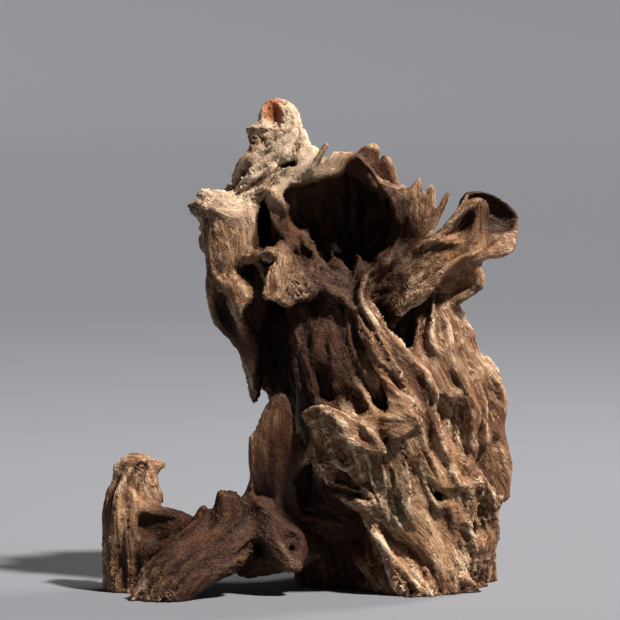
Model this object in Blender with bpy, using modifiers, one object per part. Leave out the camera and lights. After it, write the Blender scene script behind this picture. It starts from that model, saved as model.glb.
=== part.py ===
"""Dead wood: a weathered stump of root wood, grown as one piece.

Metres, +Z up. The origin is the middle of the box that holds the wood, at the surface it stands on. The camera's
side is -Y. The limbs are drawn in millimetres, as (x, y, z, half width, half thickness) from root to tip.
"""

import math

import bmesh
import bpy
import numpy as np
from mathutils import Vector

# The finished size, in metres.
WIDTH = 0.183
DEPTH = 0.110
HEIGHT = 0.216

MM = 0.001
NAME = "driftwood"
SECTION_SIDES = 12          # corners of a limb's cross-section
RING_GAP = 3.0              # mm between two rings of a limb
EDGE_TAPER = 1.25           # above 1, a flat limb thins towards its edges like a lens
FUSE_VOXEL = 1.3            # mm, grain of the fused skin
GAP_REACH = 1.3             # mm, gaps narrower than twice this are closed
CROTCH_ROUNDS = 5           # rounds of filling where limbs meet
FACES_WANTED = 11600        # triangles of the finished solid
SOLE_DROP = 12.0            # mm, how far the feet are drawn below the surface before they are sawn off
SPIRAL = 0.27               # degrees the grain of the back winds round for each mm of height
BACK_SEED = 5
SAW_BLOCK = 400.0           # mm, side of the block that saws the feet flat

WOOD_COLOUR = (0.26, 0.145, 0.075, 1.0)
WOOD_ROUGHNESS = 0.62


def clear_scene():
    for old in list(bpy.data.objects):
        bpy.data.objects.remove(old)


def smooth_rows(rows, gap):
    """Rows of a Catmull-Rom curve through the drawn rows, about gap apart. The sizes follow the same curve."""
    rows = np.array(rows, float)
    ends = [2 * rows[0] - rows[1], *rows, 2 * rows[-1] - rows[-2]]
    found = []
    for before, start, end, after in zip(ends, ends[1:], ends[2:], ends[3:]):
        steps = max(1, round(np.linalg.norm((end - start)[:3]) / gap))
        for t in np.arange(steps) / steps:
            found.append(
                0.5
                * (
                    2 * start
                    + (end - before) * t
                    + (2 * before - 5 * start + 4 * end - after) * t**2
                    + (3 * start - before - 3 * end + after) * t**3
                )
            )
    found.append(rows[-1])
    found = np.array(found)
    found[:, 3:] = np.maximum(found[:, 3:], 0.3)
    return found


def with_round_ends(rows):
    """Adds rings past both ends that close in on a point, so that a limb ends rounded."""
    def cap(end, inner):
        along = end[:3] - inner[:3]
        along /= max(np.linalg.norm(along), 1e-6)
        reach = min(end[3], end[4])
        made = []
        for turn in (0.5, 0.85, 0.98):
            ring = end.copy()
            ring[:3] += along * reach * turn
            ring[3:] *= math.sqrt(1 - turn**2)
            made.append(ring)
        return made

    first = cap(rows[0], rows[1])[::-1]
    return np.array([*first, *rows, *cap(rows[-1], rows[-2])])


def loft(shape, rows, face):
    """Adds one closed limb to a bmesh: oval rings along a smooth path, whose broad side looks along face."""
    rows = with_round_ends(smooth_rows(rows, RING_GAP))
    places = rows[:, :3]
    tangents = np.gradient(places, axis=0)
    rings = []
    for place, tangent, (half_width, half_thickness) in zip(places, tangents, rows[:, 3:]):
        across = Vector(tangent).cross(Vector(face)).normalized()
        out = across.cross(Vector(tangent)).normalized()
        ring = []
        for corner in range(SECTION_SIDES):
            turn = math.tau * corner / SECTION_SIDES
            lift = math.copysign(abs(math.sin(turn)) ** EDGE_TAPER, math.sin(turn))
            offset = across * (half_width * math.cos(turn)) + out * (half_thickness * lift)
            ring.append(shape.verts.new((Vector(place) + offset) * MM))
        rings.append(ring)
    for low, high in zip(rings, rings[1:]):
        for corner in range(SECTION_SIDES):
            after = (corner + 1) % SECTION_SIDES
            shape.faces.new((low[corner], low[after], high[after], high[corner]))
    shape.faces.new(rings[0][::-1])
    shape.faces.new(rings[-1])


def limbs_object(name, limbs, collection):
    """One object that holds every limb as a closed shell of its own."""
    shape = bmesh.new()
    for rows, face in limbs:
        loft(shape, rows, face)
    bmesh.ops.recalc_face_normals(shape, faces=shape.faces)
    mesh = bpy.data.meshes.new(name)
    shape.to_mesh(mesh)
    shape.free()
    made = bpy.data.objects.new(name, mesh)
    collection.objects.link(made)
    return made


FRONT = (0, -1, 0)
SIDE = (-1, 0, 0)
UP = (0, 0, 1)


def trunk():
    """The heartwood, the smooth column under the bowl and the wall at the back of the dark cleft on its left."""
    return [
        ([(38, 10, -12, 30, 26), (38, 10, 25, 29, 26), (43, 10, 55, 32, 26), (40, 12, 85, 32, 25),
          (30, 14, 112, 31, 25), (18, 18, 138, 31, 21), (10, 22, 160, 31, 16), (4, 20, 176, 20, 12)], FRONT),
        ([(6, -2, 74, 13, 14), (6, -5, 95, 13, 13), (6, -5, 110, 14, 13), (4, -4, 128, 16, 14)], FRONT),
        ([(0, 28, 60, 16, 12), (-5, 30, 90, 17, 10), (-14, 28, 112, 20, 10), (-20, 22, 135, 22, 12),
          (-20, 14, 160, 18, 12)], FRONT),
        ([(12, 12, -12, 20, 16), (10, 11, 18, 18, 15), (10, 5, 38, 16, 15), (10, 0, 60, 15, 17)], FRONT),
    ]


def trunk_column():
    """Folds that run down the shaded column under the bowl."""
    return [
        ([(-6, -14, 128, 2, 4), (-7, -17, 116, 2.4, 4), (-6, -18, 104, 2.4, 4), (-4, -17, 90, 2.2, 4)], FRONT),
        ([(-1, -16, 126, 1.8, 4), (0, -19, 114, 2.2, 4), (-1, -20, 102, 2.4, 4), (1, -19, 88, 2, 4)], FRONT),
        ([(6, -17, 128, 2.4, 4), (3.6, -20, 117, 1.6, 3.6), (2.6, -21, 110, 1.4, 3.4), (4, -21, 104, 1.3, 3),
          (7.6, -20, 100, 1.2, 3)], FRONT),
        ([(9, -17, 127, 2, 4), (8.4, -20, 116, 2, 4), (9, -21, 104, 2.4, 4), (10, -20, 90, 2, 4)], FRONT),
        ([(15, -17, 124, 2, 4), (14, -20, 112, 2, 4), (15, -21, 100, 2.2, 4), (17, -21, 88, 2, 4)], FRONT),
        ([(-10.4, -8, 122, 1.6, 3), (-9, -13, 116, 1.8, 3), (-8, -13, 109, 1.4, 3)], FRONT),
        ([(18, -16, 128, 4, 6), (20, -18, 112, 5, 6), (24, -19, 98, 6, 6), (28, -20, 84, 6, 6)], FRONT),
    ]


def trunk_front():
    """The lit right half of the trunk: long planks with a sharp crest on each edge, stacked down to the right."""
    return [
        ([(21, -19, 130, 2.6, 4), (25, -21, 120, 5.4, 4.4), (31, -23, 111, 7.4, 4.6), (38, -24, 101, 7.6, 4.6),
          (44, -24, 92, 6.4, 4.6), (49, -23, 82, 4.8, 4.4), (51, -23, 70, 4, 4), (52, -23, 56, 3.4, 4)], (0.25, -1, 0.2)),
        ([(20.4, -22, 124, 1.2, 3), (20.6, -24, 116, 1.2, 3), (24, -26, 112, 1.3, 3), (28, -28, 105, 1.4, 3),
          (33, -29, 98.5, 1.4, 3), (39, -30, 92, 1.4, 3), (45, -29, 87, 1.6, 3), (48, -27, 82, 1.4, 3)], FRONT),
        ([(24, -24, 124, 1.2, 2.4), (28, -26, 116, 1.4, 3), (33, -28, 107, 1.4, 3), (38, -29, 99, 1.4, 3),
          (43, -29, 93, 1.2, 2.4)], FRONT),
        ([(27, -20, 125, 1.2, 2.4), (33, -22, 117, 1.3, 3), (38, -24, 110, 1.3, 3), (43, -26, 104, 1.6, 3),
          (49, -27, 96, 1.8, 3), (51, -27, 88, 1.6, 3)], FRONT),
        ([(54, -8, 127, 5, 5), (54, -12, 117, 8, 5), (55, -17, 108, 9, 5), (56, -20, 98, 7, 5), (58, -21, 88, 6, 4)],
         (0.2, -1, 0.1)),
        ([(47.5, -13, 121, 1.6, 3), (45.5, -18, 112, 1.8, 3), (48, -23, 104, 1.8, 3), (51, -26, 96, 1.8, 3),
          (54, -27, 89, 1.4, 3)], FRONT),
        ([(52.6, -12, 129, 1.2, 2.4), (53, -16, 121, 1.4, 3), (51, -20, 114, 1.4, 3), (54, -23, 107, 1.4, 3)], FRONT),
        ([(55, -11, 128, 1.2, 2.4), (58, -15, 120, 1.4, 3), (60, -18, 113, 1.8, 3), (57, -22, 107, 1.4, 3)], FRONT),
        ([(57, -9, 127, 1.2, 2.4), (60, -12, 122, 1.3, 2.6), (63, -12, 119, 1.3, 2.6), (66, -9, 117.6, 1.3, 3)], FRONT),
        ([(57, -21, 105, 1.4, 3), (62, -18, 108.4, 1.6, 3), (66, -12, 111.6, 1.6, 3.4), (68.6, -8, 113, 1.6, 3.4)], FRONT),
        ([(64, -12, 107, 5, 4), (69, -14, 97, 6, 4), (72, -15, 87, 5, 4), (73, -15, 77, 5, 4), (73, -14, 67, 5, 4)],
         (0.2, -1, 0)),
        ([(60, -19, 107, 1.6, 4), (64, -22, 98, 1.8, 4), (68.6, -23, 88, 1.8, 4), (70, -22, 79, 1.8, 4),
          (69.4, -21, 70, 1.6, 4), (71, -19, 61, 1.4, 3)], FRONT),
        ([(67, -14, 105, 1.2, 2.4), (72, -17, 94, 1.4, 2.6), (74.4, -18, 84, 1.4, 2.6), (74.6, -18, 74, 1.4, 2.6)], FRONT),
        ([(60, -4, 124, 2, 5), (66, -6, 116, 2, 5), (69, -8, 111, 2, 5), (70, -8, 105, 2.4, 5), (75, -8, 99, 2.6, 5),
          (80, -7, 93, 2.6, 5), (82.4, -6, 87, 2.4, 5), (82.6, -5, 79, 2, 5), (82, -5, 71, 1.8, 4)], FRONT),
        ([(53.6, -22, 88.5, 1.4, 3), (59, -24, 89, 1.5, 3), (64.4, -23, 87, 1.5, 3)], FRONT),
        ([(50, -25, 86, 1.8, 4), (52.4, -27, 78, 1.8, 4), (55, -28, 70, 1.8, 4), (59, -27, 64, 1.8, 4),
          (64, -26, 59.6, 1.6, 4), (69, -24, 56, 1.4, 3)], FRONT),
        ([(45.4, -26, 80, 1.4, 3), (46.6, -28, 70, 1.6, 3.4), (47.6, -28, 61, 1.6, 3.4), (49, -27, 52, 1.6, 3),
          (51, -26, 44, 1.4, 3)], FRONT),
        ([(49, -26, 78, 1.3, 3), (49.6, -28, 68, 1.5, 3), (51.4, -28, 61, 1.4, 3), (53.4, -27, 56, 1.2, 2.6)], FRONT),
        ([(36, -23, 68, 3, 5), (38, -25, 58, 5, 6), (41, -25, 47, 6, 6), (46, -24, 36, 6, 6), (52, -22, 22, 5, 6),
          (57, -20, 6, 6, 6), (60, -18, -12, 6, 6)], FRONT),
        ([(36.4, -27, 66, 1.4, 3), (37, -30, 57, 1.5, 3), (38, -31, 48, 1.6, 3), (42, -31, 39, 1.6, 3),
          (47, -29, 30, 1.6, 3), (51, -27, 21, 1.6, 3), (55, -25, 11, 1.6, 3)], FRONT),
        ([(40.6, -27, 60, 1.4, 3), (42, -30, 51, 1.5, 3), (46, -30, 42, 1.6, 3), (50, -28, 34, 1.6, 3),
          (53, -26, 25, 1.4, 3), (56, -24, 14, 1.4, 3)], FRONT),
        ([(45, -24, 76, 4, 5), (47, -25, 60, 5, 5), (50, -24, 46, 4, 5), (54, -22, 32, 4, 5),
          (58, -19, 18, 5, 5), (62, -16, 2, 5, 5), (64, -14, -12, 5, 5)], FRONT),
    ]


def trunk_slots():
    """Thin strands left standing over the slots above the lip; they run down into the lip's rim."""
    return [
        ([(23, -24, 106, 0.9, 2), (26.6, -27, 101, 1, 2), (30.6, -30, 96.5, 1.1, 2.4), (36, -34, 90.6, 1.2, 2.6),
          (40, -36, 86, 1.2, 2.6), (43, -36, 83, 1.2, 2.4)], FRONT),
        ([(27.4, -26, 99, 0.9, 2), (30.6, -29, 94.6, 1, 2), (32.4, -32, 90, 1.1, 2.4), (34.4, -35, 85, 1.3, 2.6),
          (36, -36, 82.6, 1.2, 2.4)], FRONT),
        ([(31, -28, 96, 0.8, 2), (34.6, -31, 91, 0.9, 2), (37, -34, 87, 1, 2.4), (39, -36, 84, 1, 2.4)], FRONT),
        ([(19, -22, 94, 0.8, 2), (22, -26, 90, 1, 2.2), (24.4, -30, 86, 1.2, 2.6), (27.6, -34, 82, 1.4, 2.8)], FRONT),
    ]


def right_flank():
    """The broad sheet that wraps the right side and ends in two points over the floor, and the wood behind it."""
    return [
        ([(77, -5, 80, 6, 5), (79, -5, 70, 6, 4), (80, -5, 62, 6, 3), (82, -5, 53, 5.4, 2.6), (82.4, -6, 44, 5, 2.2),
          (81, -7, 38, 2.4, 1.6), (80.4, -7, 35.4, 1, 1)], (-0.5, -0.85, 0)),
        ([(82.4, -4, 72, 1.8, 3), (84, -5, 64, 2, 3), (86, -5, 56, 2, 2.6), (85.8, -6, 47, 1.5, 2.4),
          (86.2, -7, 40.6, 1.2, 1.6)], FRONT),
        ([(78.6, -9, 80, 1.4, 3), (79.4, -11, 74.6, 1.6, 3), (81.6, -9, 69, 1.4, 3)], FRONT),
        ([(66, -22, 57, 1.6, 3), (71, -20, 53, 1.8, 3), (75.6, -16, 47, 1.8, 3), (78.6, -12, 41, 1.6, 2.6),
          (80, -9, 36, 1.2, 2)], FRONT),
        ([(73, -9, 60, 6, 5), (75, -10, 48, 5, 4), (76, -10, 39, 4, 3), (78.6, -9, 33.6, 2.4, 2),
          (80, -9, 31.4, 1, 1)], FRONT),
        ([(63, 6, 104, 7, 9), (69, 8, 94, 8, 10), (74, 10, 80, 8, 10), (75, 10, 60, 8, 10), (75, 8, 46, 5, 7)], FRONT),
        ([(55, -6, 124, 6, 7), (60, -8, 112, 8.6, 9), (65, -9, 100, 9, 9), (70, -8, 88, 10, 9), (73, -7, 74, 9, 8)],
         (0.2, -1, 0)),
        ([(58, -12, 94, 9, 8), (60, -13, 80, 10, 8), (62, -13, 66, 9, 8), (62, -12, 52, 8, 8)], FRONT),
        ([(73, -1, 98, 4.4, 7), (78, -1, 90, 4.6, 7), (79, -1, 80, 4.4, 7)], FRONT),
    ]


def splintered_knot():
    """The rough knot low on the right: pale lumps round two holes, and lobes that hang under it."""
    return [
        ([(60, -15, 62, 8, 8), (62, -19, 52, 9, 9), (64, -18, 42, 7, 8)], FRONT),
        ([(54, -25, 65, 1.4, 3), (53.4, -28, 58, 1.6, 3), (54.6, -29, 51, 1.6, 3), (58.4, -28, 47.4, 1.6, 3)], FRONT),
        ([(59.4, -26, 62, 1.3, 3), (60.6, -28, 56.6, 1.6, 3), (61.4, -29, 52, 2, 3)], FRONT),
        ([(62, -26, 54, 2.4, 3), (66, -26, 55.6, 2, 3), (69, -24, 52, 2, 3)], FRONT),
        ([(60, -27, 48, 2, 3), (65, -27, 49.6, 2.2, 3), (70, -24, 47.6, 2.4, 3), (73.4, -20, 48.6, 1.8, 2.6)], FRONT),
        ([(51, -25, 46, 1.6, 3), (53, -27, 41.6, 1.6, 3), (57.6, -27, 39.4, 1.6, 3)], FRONT),
        ([(62, -23, 44, 4.5, 4), (62.6, -23, 37, 4.5, 4), (65, -21, 32.4, 3.4, 3)], FRONT),
        ([(60.4, -25, 44, 1.2, 2.4), (60.8, -26, 38, 1.4, 2.6), (62.6, -25, 32.6, 1.3, 2.4), (68.6, -21, 31, 1.3, 2.4)],
         FRONT),
        ([(69, -19, 46, 4, 4), (70, -19, 39, 3.5, 4), (69.4, -18, 34, 2, 2.5)], FRONT),
    ]


def right_foot():
    """The foot on the right: a shaded body, a pale blade with its tip in the air and a toe on the floor."""
    return [
        ([(58, -8, 34, 10, 10), (60, -8, 20, 9.5, 12), (60, -7, 8, 9, 12), (58, -6, -12, 9, 13)], FRONT),
        ([(52, -23, 35, 1.6, 3), (59, -23, 31, 1.8, 3), (65, -20, 27.6, 1.8, 3), (70, -17, 25.6, 1.8, 2.6),
          (73, -15, 22, 1.6, 2.2), (74.6, -14, 19.4, 1, 1.4)], FRONT),
        ([(58, -21, 30, 2, 3), (63, -20, 25.4, 2.4, 3), (68, -17, 21.4, 2.2, 2.6), (73.6, -14, 18.8, 1.2, 1.4)], FRONT),
        ([(60, -14, 24, 7, 5), (63, -14, 16, 6.6, 5), (64, -13, 11, 4.6, 4)], FRONT),
        ([(69.4, -14, 19, 1.4, 3), (69.6, -14, 14, 1.4, 3), (66.4, -15, 10, 1.4, 3)], FRONT),
        ([(57, -22, 13, 1.2, 3), (60, -22, 9, 1.6, 3), (65, -20, 6.4, 2, 3), (70, -17, 3.6, 2, 2.6),
          (74, -15, 1, 1.2, 1.6)], FRONT),
        ([(62, -19, 5, 2.4, 3), (68, -17, 1.4, 2.4, 3), (73, -15, -1, 1.6, 2)], FRONT),
        ([(60, -12, 2, 5, 5), (66, -11, -2, 4, 4), (71, -11, -5, 3, 3)], UP),
    ]


def front_foot():
    """The middle of the base: a sharp crest, the panel beside the long furrow and a worn heel in the shade."""
    return [
        ([(18, -18, 42, 3, 4), (25, -24, 34, 3, 4), (31, -27, 22, 3, 4), (36, -29, 10, 2.6, 4), (41, -30, 2, 2.6, 4),
          (46, -30, -4, 3, 4), (48, -28, -12, 3, 4)], FRONT),
        ([(32, -18, 30, 5, 6), (37, -21, 20, 6, 6), (43, -23, 10, 6, 6), (49, -24, 0, 6, 6), (52, -22, -12, 6, 6)], FRONT),
        ([(30, -22, 44, 4, 5), (37, -26, 34, 4, 5), (44, -26, 26, 4, 5), (50, -25, 17, 3.5, 5), (54, -24, 10, 3, 4),
          (57, -22, 0, 3, 4), (58, -20, -12, 3, 4)], FRONT),
        ([(20, -12, 18, 3, 4), (26, -17, 11, 4, 5), (32, -20, 5, 4, 5), (38, -21, -2, 4, 5), (40, -20, -12, 4, 5)], FRONT),
        ([(28, -4, 30, 9, 14), (31, -6, 14, 9, 14), (33, -8, -12, 9, 14)], FRONT),
    ]


def nose():
    """The shelf that juts out of the middle of the trunk, with a worn bright crest over a shaded hollow."""
    return [
        ([(5, -18, 79, 6, 8), (8, -23, 70, 7.4, 8), (9, -21, 58, 8, 7), (7, -12, 46, 7, 7)], FRONT),
        ([(15, -19, 78, 10, 9), (18, -25, 69, 10, 8), (20, -22, 58, 10, 8), (20, -13, 46, 10, 8)], FRONT),
        ([(-2, -26, 79, 2.4, 4), (4, -31, 80, 3.6, 5), (11, -34, 77, 4.6, 6), (17, -36, 74, 5, 6), (23, -37, 71, 5, 5.6),
          (28, -38, 68, 3.8, 4.6), (31, -38, 65.6, 1.8, 3)], (0, -1, 0.6)),
        ([(-3, -25, 79.6, 1.6, 3), (2, -31, 83, 2, 3), (7, -35, 82, 2.6, 3), (12, -38, 78.6, 3, 3),
          (16, -40, 75, 2.8, 3), (18.4, -40, 71.4, 1.6, 2.4)], (0, -1, 0.4)),
        ([(4, -30, 79, 2, 3), (9, -36, 76, 2.4, 3), (13, -39, 72.6, 2.4, 2.6), (17, -40, 70.6, 1.4, 2)], FRONT),
        ([(15, -32, 80, 2, 3), (20, -36, 78, 2.4, 3), (24, -39, 74.6, 2.6, 3), (28, -41, 70.6, 2.4, 3),
          (31.6, -41, 67.4, 1.8, 2.4), (31.6, -40, 65, 1.2, 2)], (0, -1, 0.4)),
        ([(16, -37, 64.8, 1.2, 3), (21, -39, 64.4, 1.4, 3), (27, -41, 64.6, 1.6, 3), (31.6, -41, 65.2, 1.4, 2.4)], FRONT),
        ([(29.6, -30, 64, 1.4, 4), (30.6, -31, 58, 1.6, 4), (31.6, -29, 50, 1.6, 4), (32, -27, 42, 1.4, 3),
          (35, -26, 36, 1.6, 3)], FRONT),
        ([(28, -24, 66, 4, 5), (29, -26, 57, 4, 5), (29, -24, 46, 4, 5)], FRONT),
        ([(0.6, -25, 78, 1.4, 3), (1.4, -29, 70, 1.6, 3), (0, -26, 63, 1.6, 3), (-4, -20, 58, 1.4, 2.6)], FRONT),
        ([(2, -28, 60, 2, 3), (8, -30, 59, 2, 3), (16, -31, 58.6, 2, 3)], FRONT),
        ([(12, -23, 48, 14, 4), (22, -24, 43, 10, 5), (32, -24, 38, 5, 5), (40, -24, 32, 4, 5)], UP),
    ]


def lip():
    """The lip right of the shelf, a small worn shelf of its own that catches the light."""
    return [
        ([(24.6, -30, 80, 1.4, 3.4), (28, -35, 79.8, 1.6, 3.4), (35, -38, 80.4, 2, 3.4), (41, -38, 81.4, 2, 3),
          (45, -34, 79.6, 1.8, 3.4), (45.4, -31, 76, 1.6, 3)], FRONT),
        ([(26, -30, 78, 3, 5), (32, -34, 77, 5, 5), (38, -35, 76.4, 5.4, 5), (43, -32, 77, 3.4, 4.4)], FRONT),
        ([(21, -29, 80, 1.2, 3), (26, -34, 76.4, 1.4, 3), (32, -38, 73, 1.6, 3), (37, -38, 71.6, 1.6, 3),
          (41, -36, 74, 1.5, 3), (45, -33, 76, 1.3, 2.6)], FRONT),
        ([(30, -37, 78, 1, 3), (35, -39, 75.6, 1.1, 3), (39.6, -38, 74.6, 1, 2.6)], FRONT),
        ([(36, -27, 74, 5, 5), (37, -27, 66, 5, 5.4), (39, -26, 58, 5, 5.4)], FRONT),
        ([(40.4, -33, 72, 1.2, 2.6), (41, -31, 67, 1.4, 2.6), (43.6, -29, 60, 1.4, 2.6)], FRONT),
    ]


def left_skin():
    """The thin skin that hangs down the left of the cleft and ends in a point."""
    return [
        ([(-38, -6, 152, 14, 5), (-41.6, -5, 138, 13, 4), (-42, -3, 129, 13, 3.4), (-39.6, -1, 121.6, 13, 3.2),
          (-34.6, 1, 115.6, 13, 3), (-29.4, 3, 109, 12, 2.8), (-26.6, 5, 101, 11, 2.4), (-25.6, 6, 92, 8, 1.8),
          (-25.3, 5, 81.6, 1.4, 1.2)], SIDE),
        ([(-30, 20, 150, 12, 8), (-30, 22, 128, 12, 8), (-24, 26, 108, 10, 6), (-17, 28, 90, 8, 6)], (-1, 1, 0)),
        ([(-34, -16, 128, 4, 3), (-30, -14, 118, 4, 3), (-25, -10, 110, 3, 3), (-24, -5, 98, 1.6, 2)], (-1, -1, 0)),
    ]


def left_flange():
    """The blocky flange that stands out at the upper left: a fluted block under two slanting plates."""
    flutes = [
        ([(-45.4, -13, 164, 1.3, 4), (-45, -16, 156, 1.5, 4), (-44.4, -17, 148, 1.6, 4), (-43.6, -16, 138, 1.3, 3)], FRONT),
        ([(-41.4, -18, 164, 1, 3), (-41, -19, 157, 1.2, 3), (-41, -19, 148, 1.4, 3), (-40.6, -17, 139, 1.2, 2.6)], FRONT),
        ([(-37, -19, 164, 1, 3), (-37, -20, 156, 1.3, 3), (-37.6, -19, 147, 1.3, 3), (-37.4, -17, 138, 1.2, 2.4)], FRONT),
        ([(-33, -19, 165, 1, 3), (-33.4, -19, 157, 1.1, 3), (-34, -18, 150, 1.1, 3)], FRONT),
        ([(-30, -17, 164, 1.3, 3), (-29.4, -18, 156, 1.4, 3), (-31, -18, 149, 1.5, 3), (-36, -18, 144, 1.4, 3)], FRONT),
    ]
    return [
        ([(-39.6, -9, 167, 9.4, 8), (-39.4, -10, 157, 8.6, 8), (-38.6, -11, 148, 7.6, 7.6), (-38, -11, 138, 6, 6)],
         (-0.15, -1, 0)),
        ([(-51, -8, 168.6, 1.8, 4), (-46, -14, 169.4, 2.4, 5), (-40, -18, 167.6, 2.4, 4), (-34, -19, 166, 2.4, 4),
          (-29.6, -17, 165.6, 1.8, 4)], (0, -1, 0.5)),
        *flutes,
        ([(-22, -8, 166, 7, 4), (-31, -9, 169, 7, 4), (-39, -10, 172, 5.4, 3), (-47.4, -9, 176, 2.2, 2)],
         (0.35, -0.5, 1)),
        ([(-47.6, -10, 176.8, 1.1, 1.8), (-42, -14, 173.6, 1.5, 2.4), (-36, -16, 170, 1.6, 2.6), (-30, -16, 167, 1.4, 2.6)],
         FRONT),
        ([(-46.8, -3, 155.6, 1.6, 4), (-46.9, -3, 150, 1.2, 3)], FRONT),
        ([(-28, 4, 166, 12, 12), (-32, 4, 154, 12, 12), (-33, 2, 138, 10, 10)], FRONT),
        ([(-26.4, -10, 170, 2.4, 5), (-25.6, -13, 164, 2.4, 5), (-27, -14, 158, 2.2, 5), (-28, -14, 150, 2, 5)], FRONT),
    ]


def left_lobes():
    """Under the flange: a hooked lobe, the bridge that crosses to the middle and the pale tongue that hangs off it."""
    return [
        ([(-37, -11, 141, 4, 6), (-34, -17, 137, 5, 5), (-31.6, -20, 131, 4, 4), (-31.4, -20, 126, 2.4, 3),
          (-31.6, -19, 122.4, 1, 1.6)], FRONT),
        ([(-30, -17, 137, 4, 4), (-26.6, -20, 134, 2.6, 3.4), (-26, -21, 131.4, 1.6, 2.6), (-29.6, -21, 127, 1.2, 2.4)],
         FRONT),
        ([(-33, -21, 136, 1.2, 2.4), (-32.6, -23, 130, 1.3, 2.4), (-31.8, -21, 124, 1, 2)], FRONT),
        ([(-31, -14, 146.6, 2, 4), (-26, -20, 148.6, 2.4, 4), (-20.6, -24, 151.6, 2.4, 4), (-15, -25, 151, 2.4, 4),
          (-10, -24, 149, 3, 4), (-7.6, -22, 145, 2.6, 4)], FRONT),
        ([(-12, -21, 153.6, 2.6, 4), (-11.4, -26, 149, 3.8, 4), (-12.4, -29, 143.6, 4.6, 4),
          (-14.4, -31, 138, 5, 3.4), (-16.2, -31, 132.6, 5.2, 2.6)], (-0.25, -1, 0)),
        ([(-17.6, -30, 145, 0.9, 2.4), (-18.8, -32, 139, 1, 2.4), (-20.6, -33, 132.8, 1.2, 2)], FRONT),
        ([(-21, -33, 131.8, 0.9, 1.6), (-17, -34, 131, 1.1, 1.8), (-12.6, -33, 131, 1, 1.8)], FRONT),
        ([(-22, -16, 146, 2, 4), (-20, -18, 141, 2, 4), (-18.6, -20, 138, 1.6, 3)], FRONT),
        ([(-8, -20, 145, 4, 5), (-6.6, -24, 139, 4.4, 5), (-5, -26, 134.6, 4, 4)], FRONT),
        ([(-10, -27, 136, 2.4, 3), (-6, -28, 133, 2.6, 3), (-1.6, -27, 131.4, 2.4, 3), (1, -25, 133, 1.4, 2.4)], FRONT),
        ([(-15, -28, 130, 1.2, 2.4), (-12.4, -29, 127.8, 1.3, 2.4), (-8, -29, 129, 1.2, 2.4)], FRONT),
        ([(-17, -8, 145, 9, 7), (-10, -9, 139, 11, 7), (-2, -11, 134, 12, 6)], FRONT),
        ([(-32, -6, 138, 10, 8), (-28, -4, 128, 9, 8), (-24, 0, 116, 8, 7)], FRONT),
    ]


def bowl_sill():
    """The ragged sill along the bottom of the bowl, from the tongue to the arm, with a small ring of wood on it."""
    ring = [(18 + 3.1 * math.cos(a), -25 + 0.8 * math.sin(a), 129 + 3.3 * math.sin(a), 0.9, 1.1)
            for a in np.radians(range(0, 361, 30))]
    return [
        ([(-8, -19, 142, 3, 4), (-4, -22, 139, 2.4, 4), (0, -22, 140, 2.4, 4), (5, -22, 137, 2.6, 4),
          (10, -21, 134, 3, 4), (15, -20, 135, 2.6, 4), (19, -21, 134.6, 2.4, 4)], FRONT),
        ([(0, -21, 146, 1.3, 3), (-1, -23, 142.6, 1.5, 3), (2.6, -24, 139.6, 1.5, 2.6), (5, -24, 136, 1.4, 2.6),
          (8.4, -24, 132, 1.4, 2.6), (10.4, -23, 130.4, 1.2, 2)], FRONT),
        ([(8, -21, 138, 1.2, 2.4), (11.6, -23, 134, 1.4, 2.6), (12, -23, 130.6, 1.2, 2.4), (15, -25, 130.6, 0.8, 1.4)],
         FRONT),
        ([(20, -21, 126, 2, 4), (20.4, -22, 132, 2.4, 4), (22, -22, 138, 2.4, 4), (26, -20, 142.4, 2.4, 4),
          (31, -18, 146, 2.6, 4), (35, -16, 150, 2.4, 4)], FRONT),
        ([(19, -24, 133, 0.9, 2), (21.6, -25, 136.6, 1, 2), (22.4, -24, 140, 1, 2), (26.6, -22, 142.6, 0.9, 2)], FRONT),
        ([(29, -19, 144, 2, 3), (31.6, -21, 146.6, 2.2, 3), (34.6, -19, 148, 1.6, 3)], FRONT),
        ([(6, -9, 130, 15, 9), (20, -8, 130, 12, 10), (34, -4, 138, 10, 12)], FRONT),
        (ring, FRONT),
    ]


def bowl():
    """The walls of the bowl: the mass behind it and the left and right cheeks. The hollow is carved from them."""
    return [
        ([(8, 24, 138, 33, 16), (8, 25, 158, 34, 16), (7, 21, 173, 27, 16), (6, 15, 180, 20, 9)], FRONT),
        ([(-16, 2, 138, 9, 14), (-20, 2, 154, 9, 15), (-20, 2, 168, 10, 14), (-16, 4, 176, 10, 12)], FRONT),
        ([(36, 4, 138, 8, 18), (38, 4, 152, 7, 18), (38, 4, 166, 6, 16), (33, 4, 176, 5, 14)], FRONT),
        ([(-6, 10, 181, 12, 4), (6, 8, 185, 14, 4), (17, 6, 187.6, 15, 4), (26, 4, 183, 13, 4),
          (33, 2, 176, 12, 4)], UP),
    ]


def bowl_inside():
    """Folds that stand in the mouth of the bowl on its left, half lost in the dark."""
    return [
        ([(-18, -12, 173, 2, 3), (-15, -13, 167, 2, 3), (-10, -10, 162, 2.2, 3), (-7, -4, 155, 2.4, 3)], FRONT),
        ([(-13, -9, 172, 1.8, 3), (-10, -10, 167, 1.8, 3), (-6, -8, 162, 1.8, 3)], FRONT),
        ([(-10, -4, 176, 3, 3), (-8, -5, 168, 2.6, 3), (-5, -2, 160, 2.6, 3)], FRONT),
        ([(2, 6, 176, 2.6, 4), (3, 4, 160, 3, 5), (4, -4, 144, 3.4, 6)], FRONT),
        ([(-4, 0, 160, 2.6, 4), (-2, -6, 150, 3, 4), (0, -14, 142, 3, 4)], FRONT),
    ]


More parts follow.
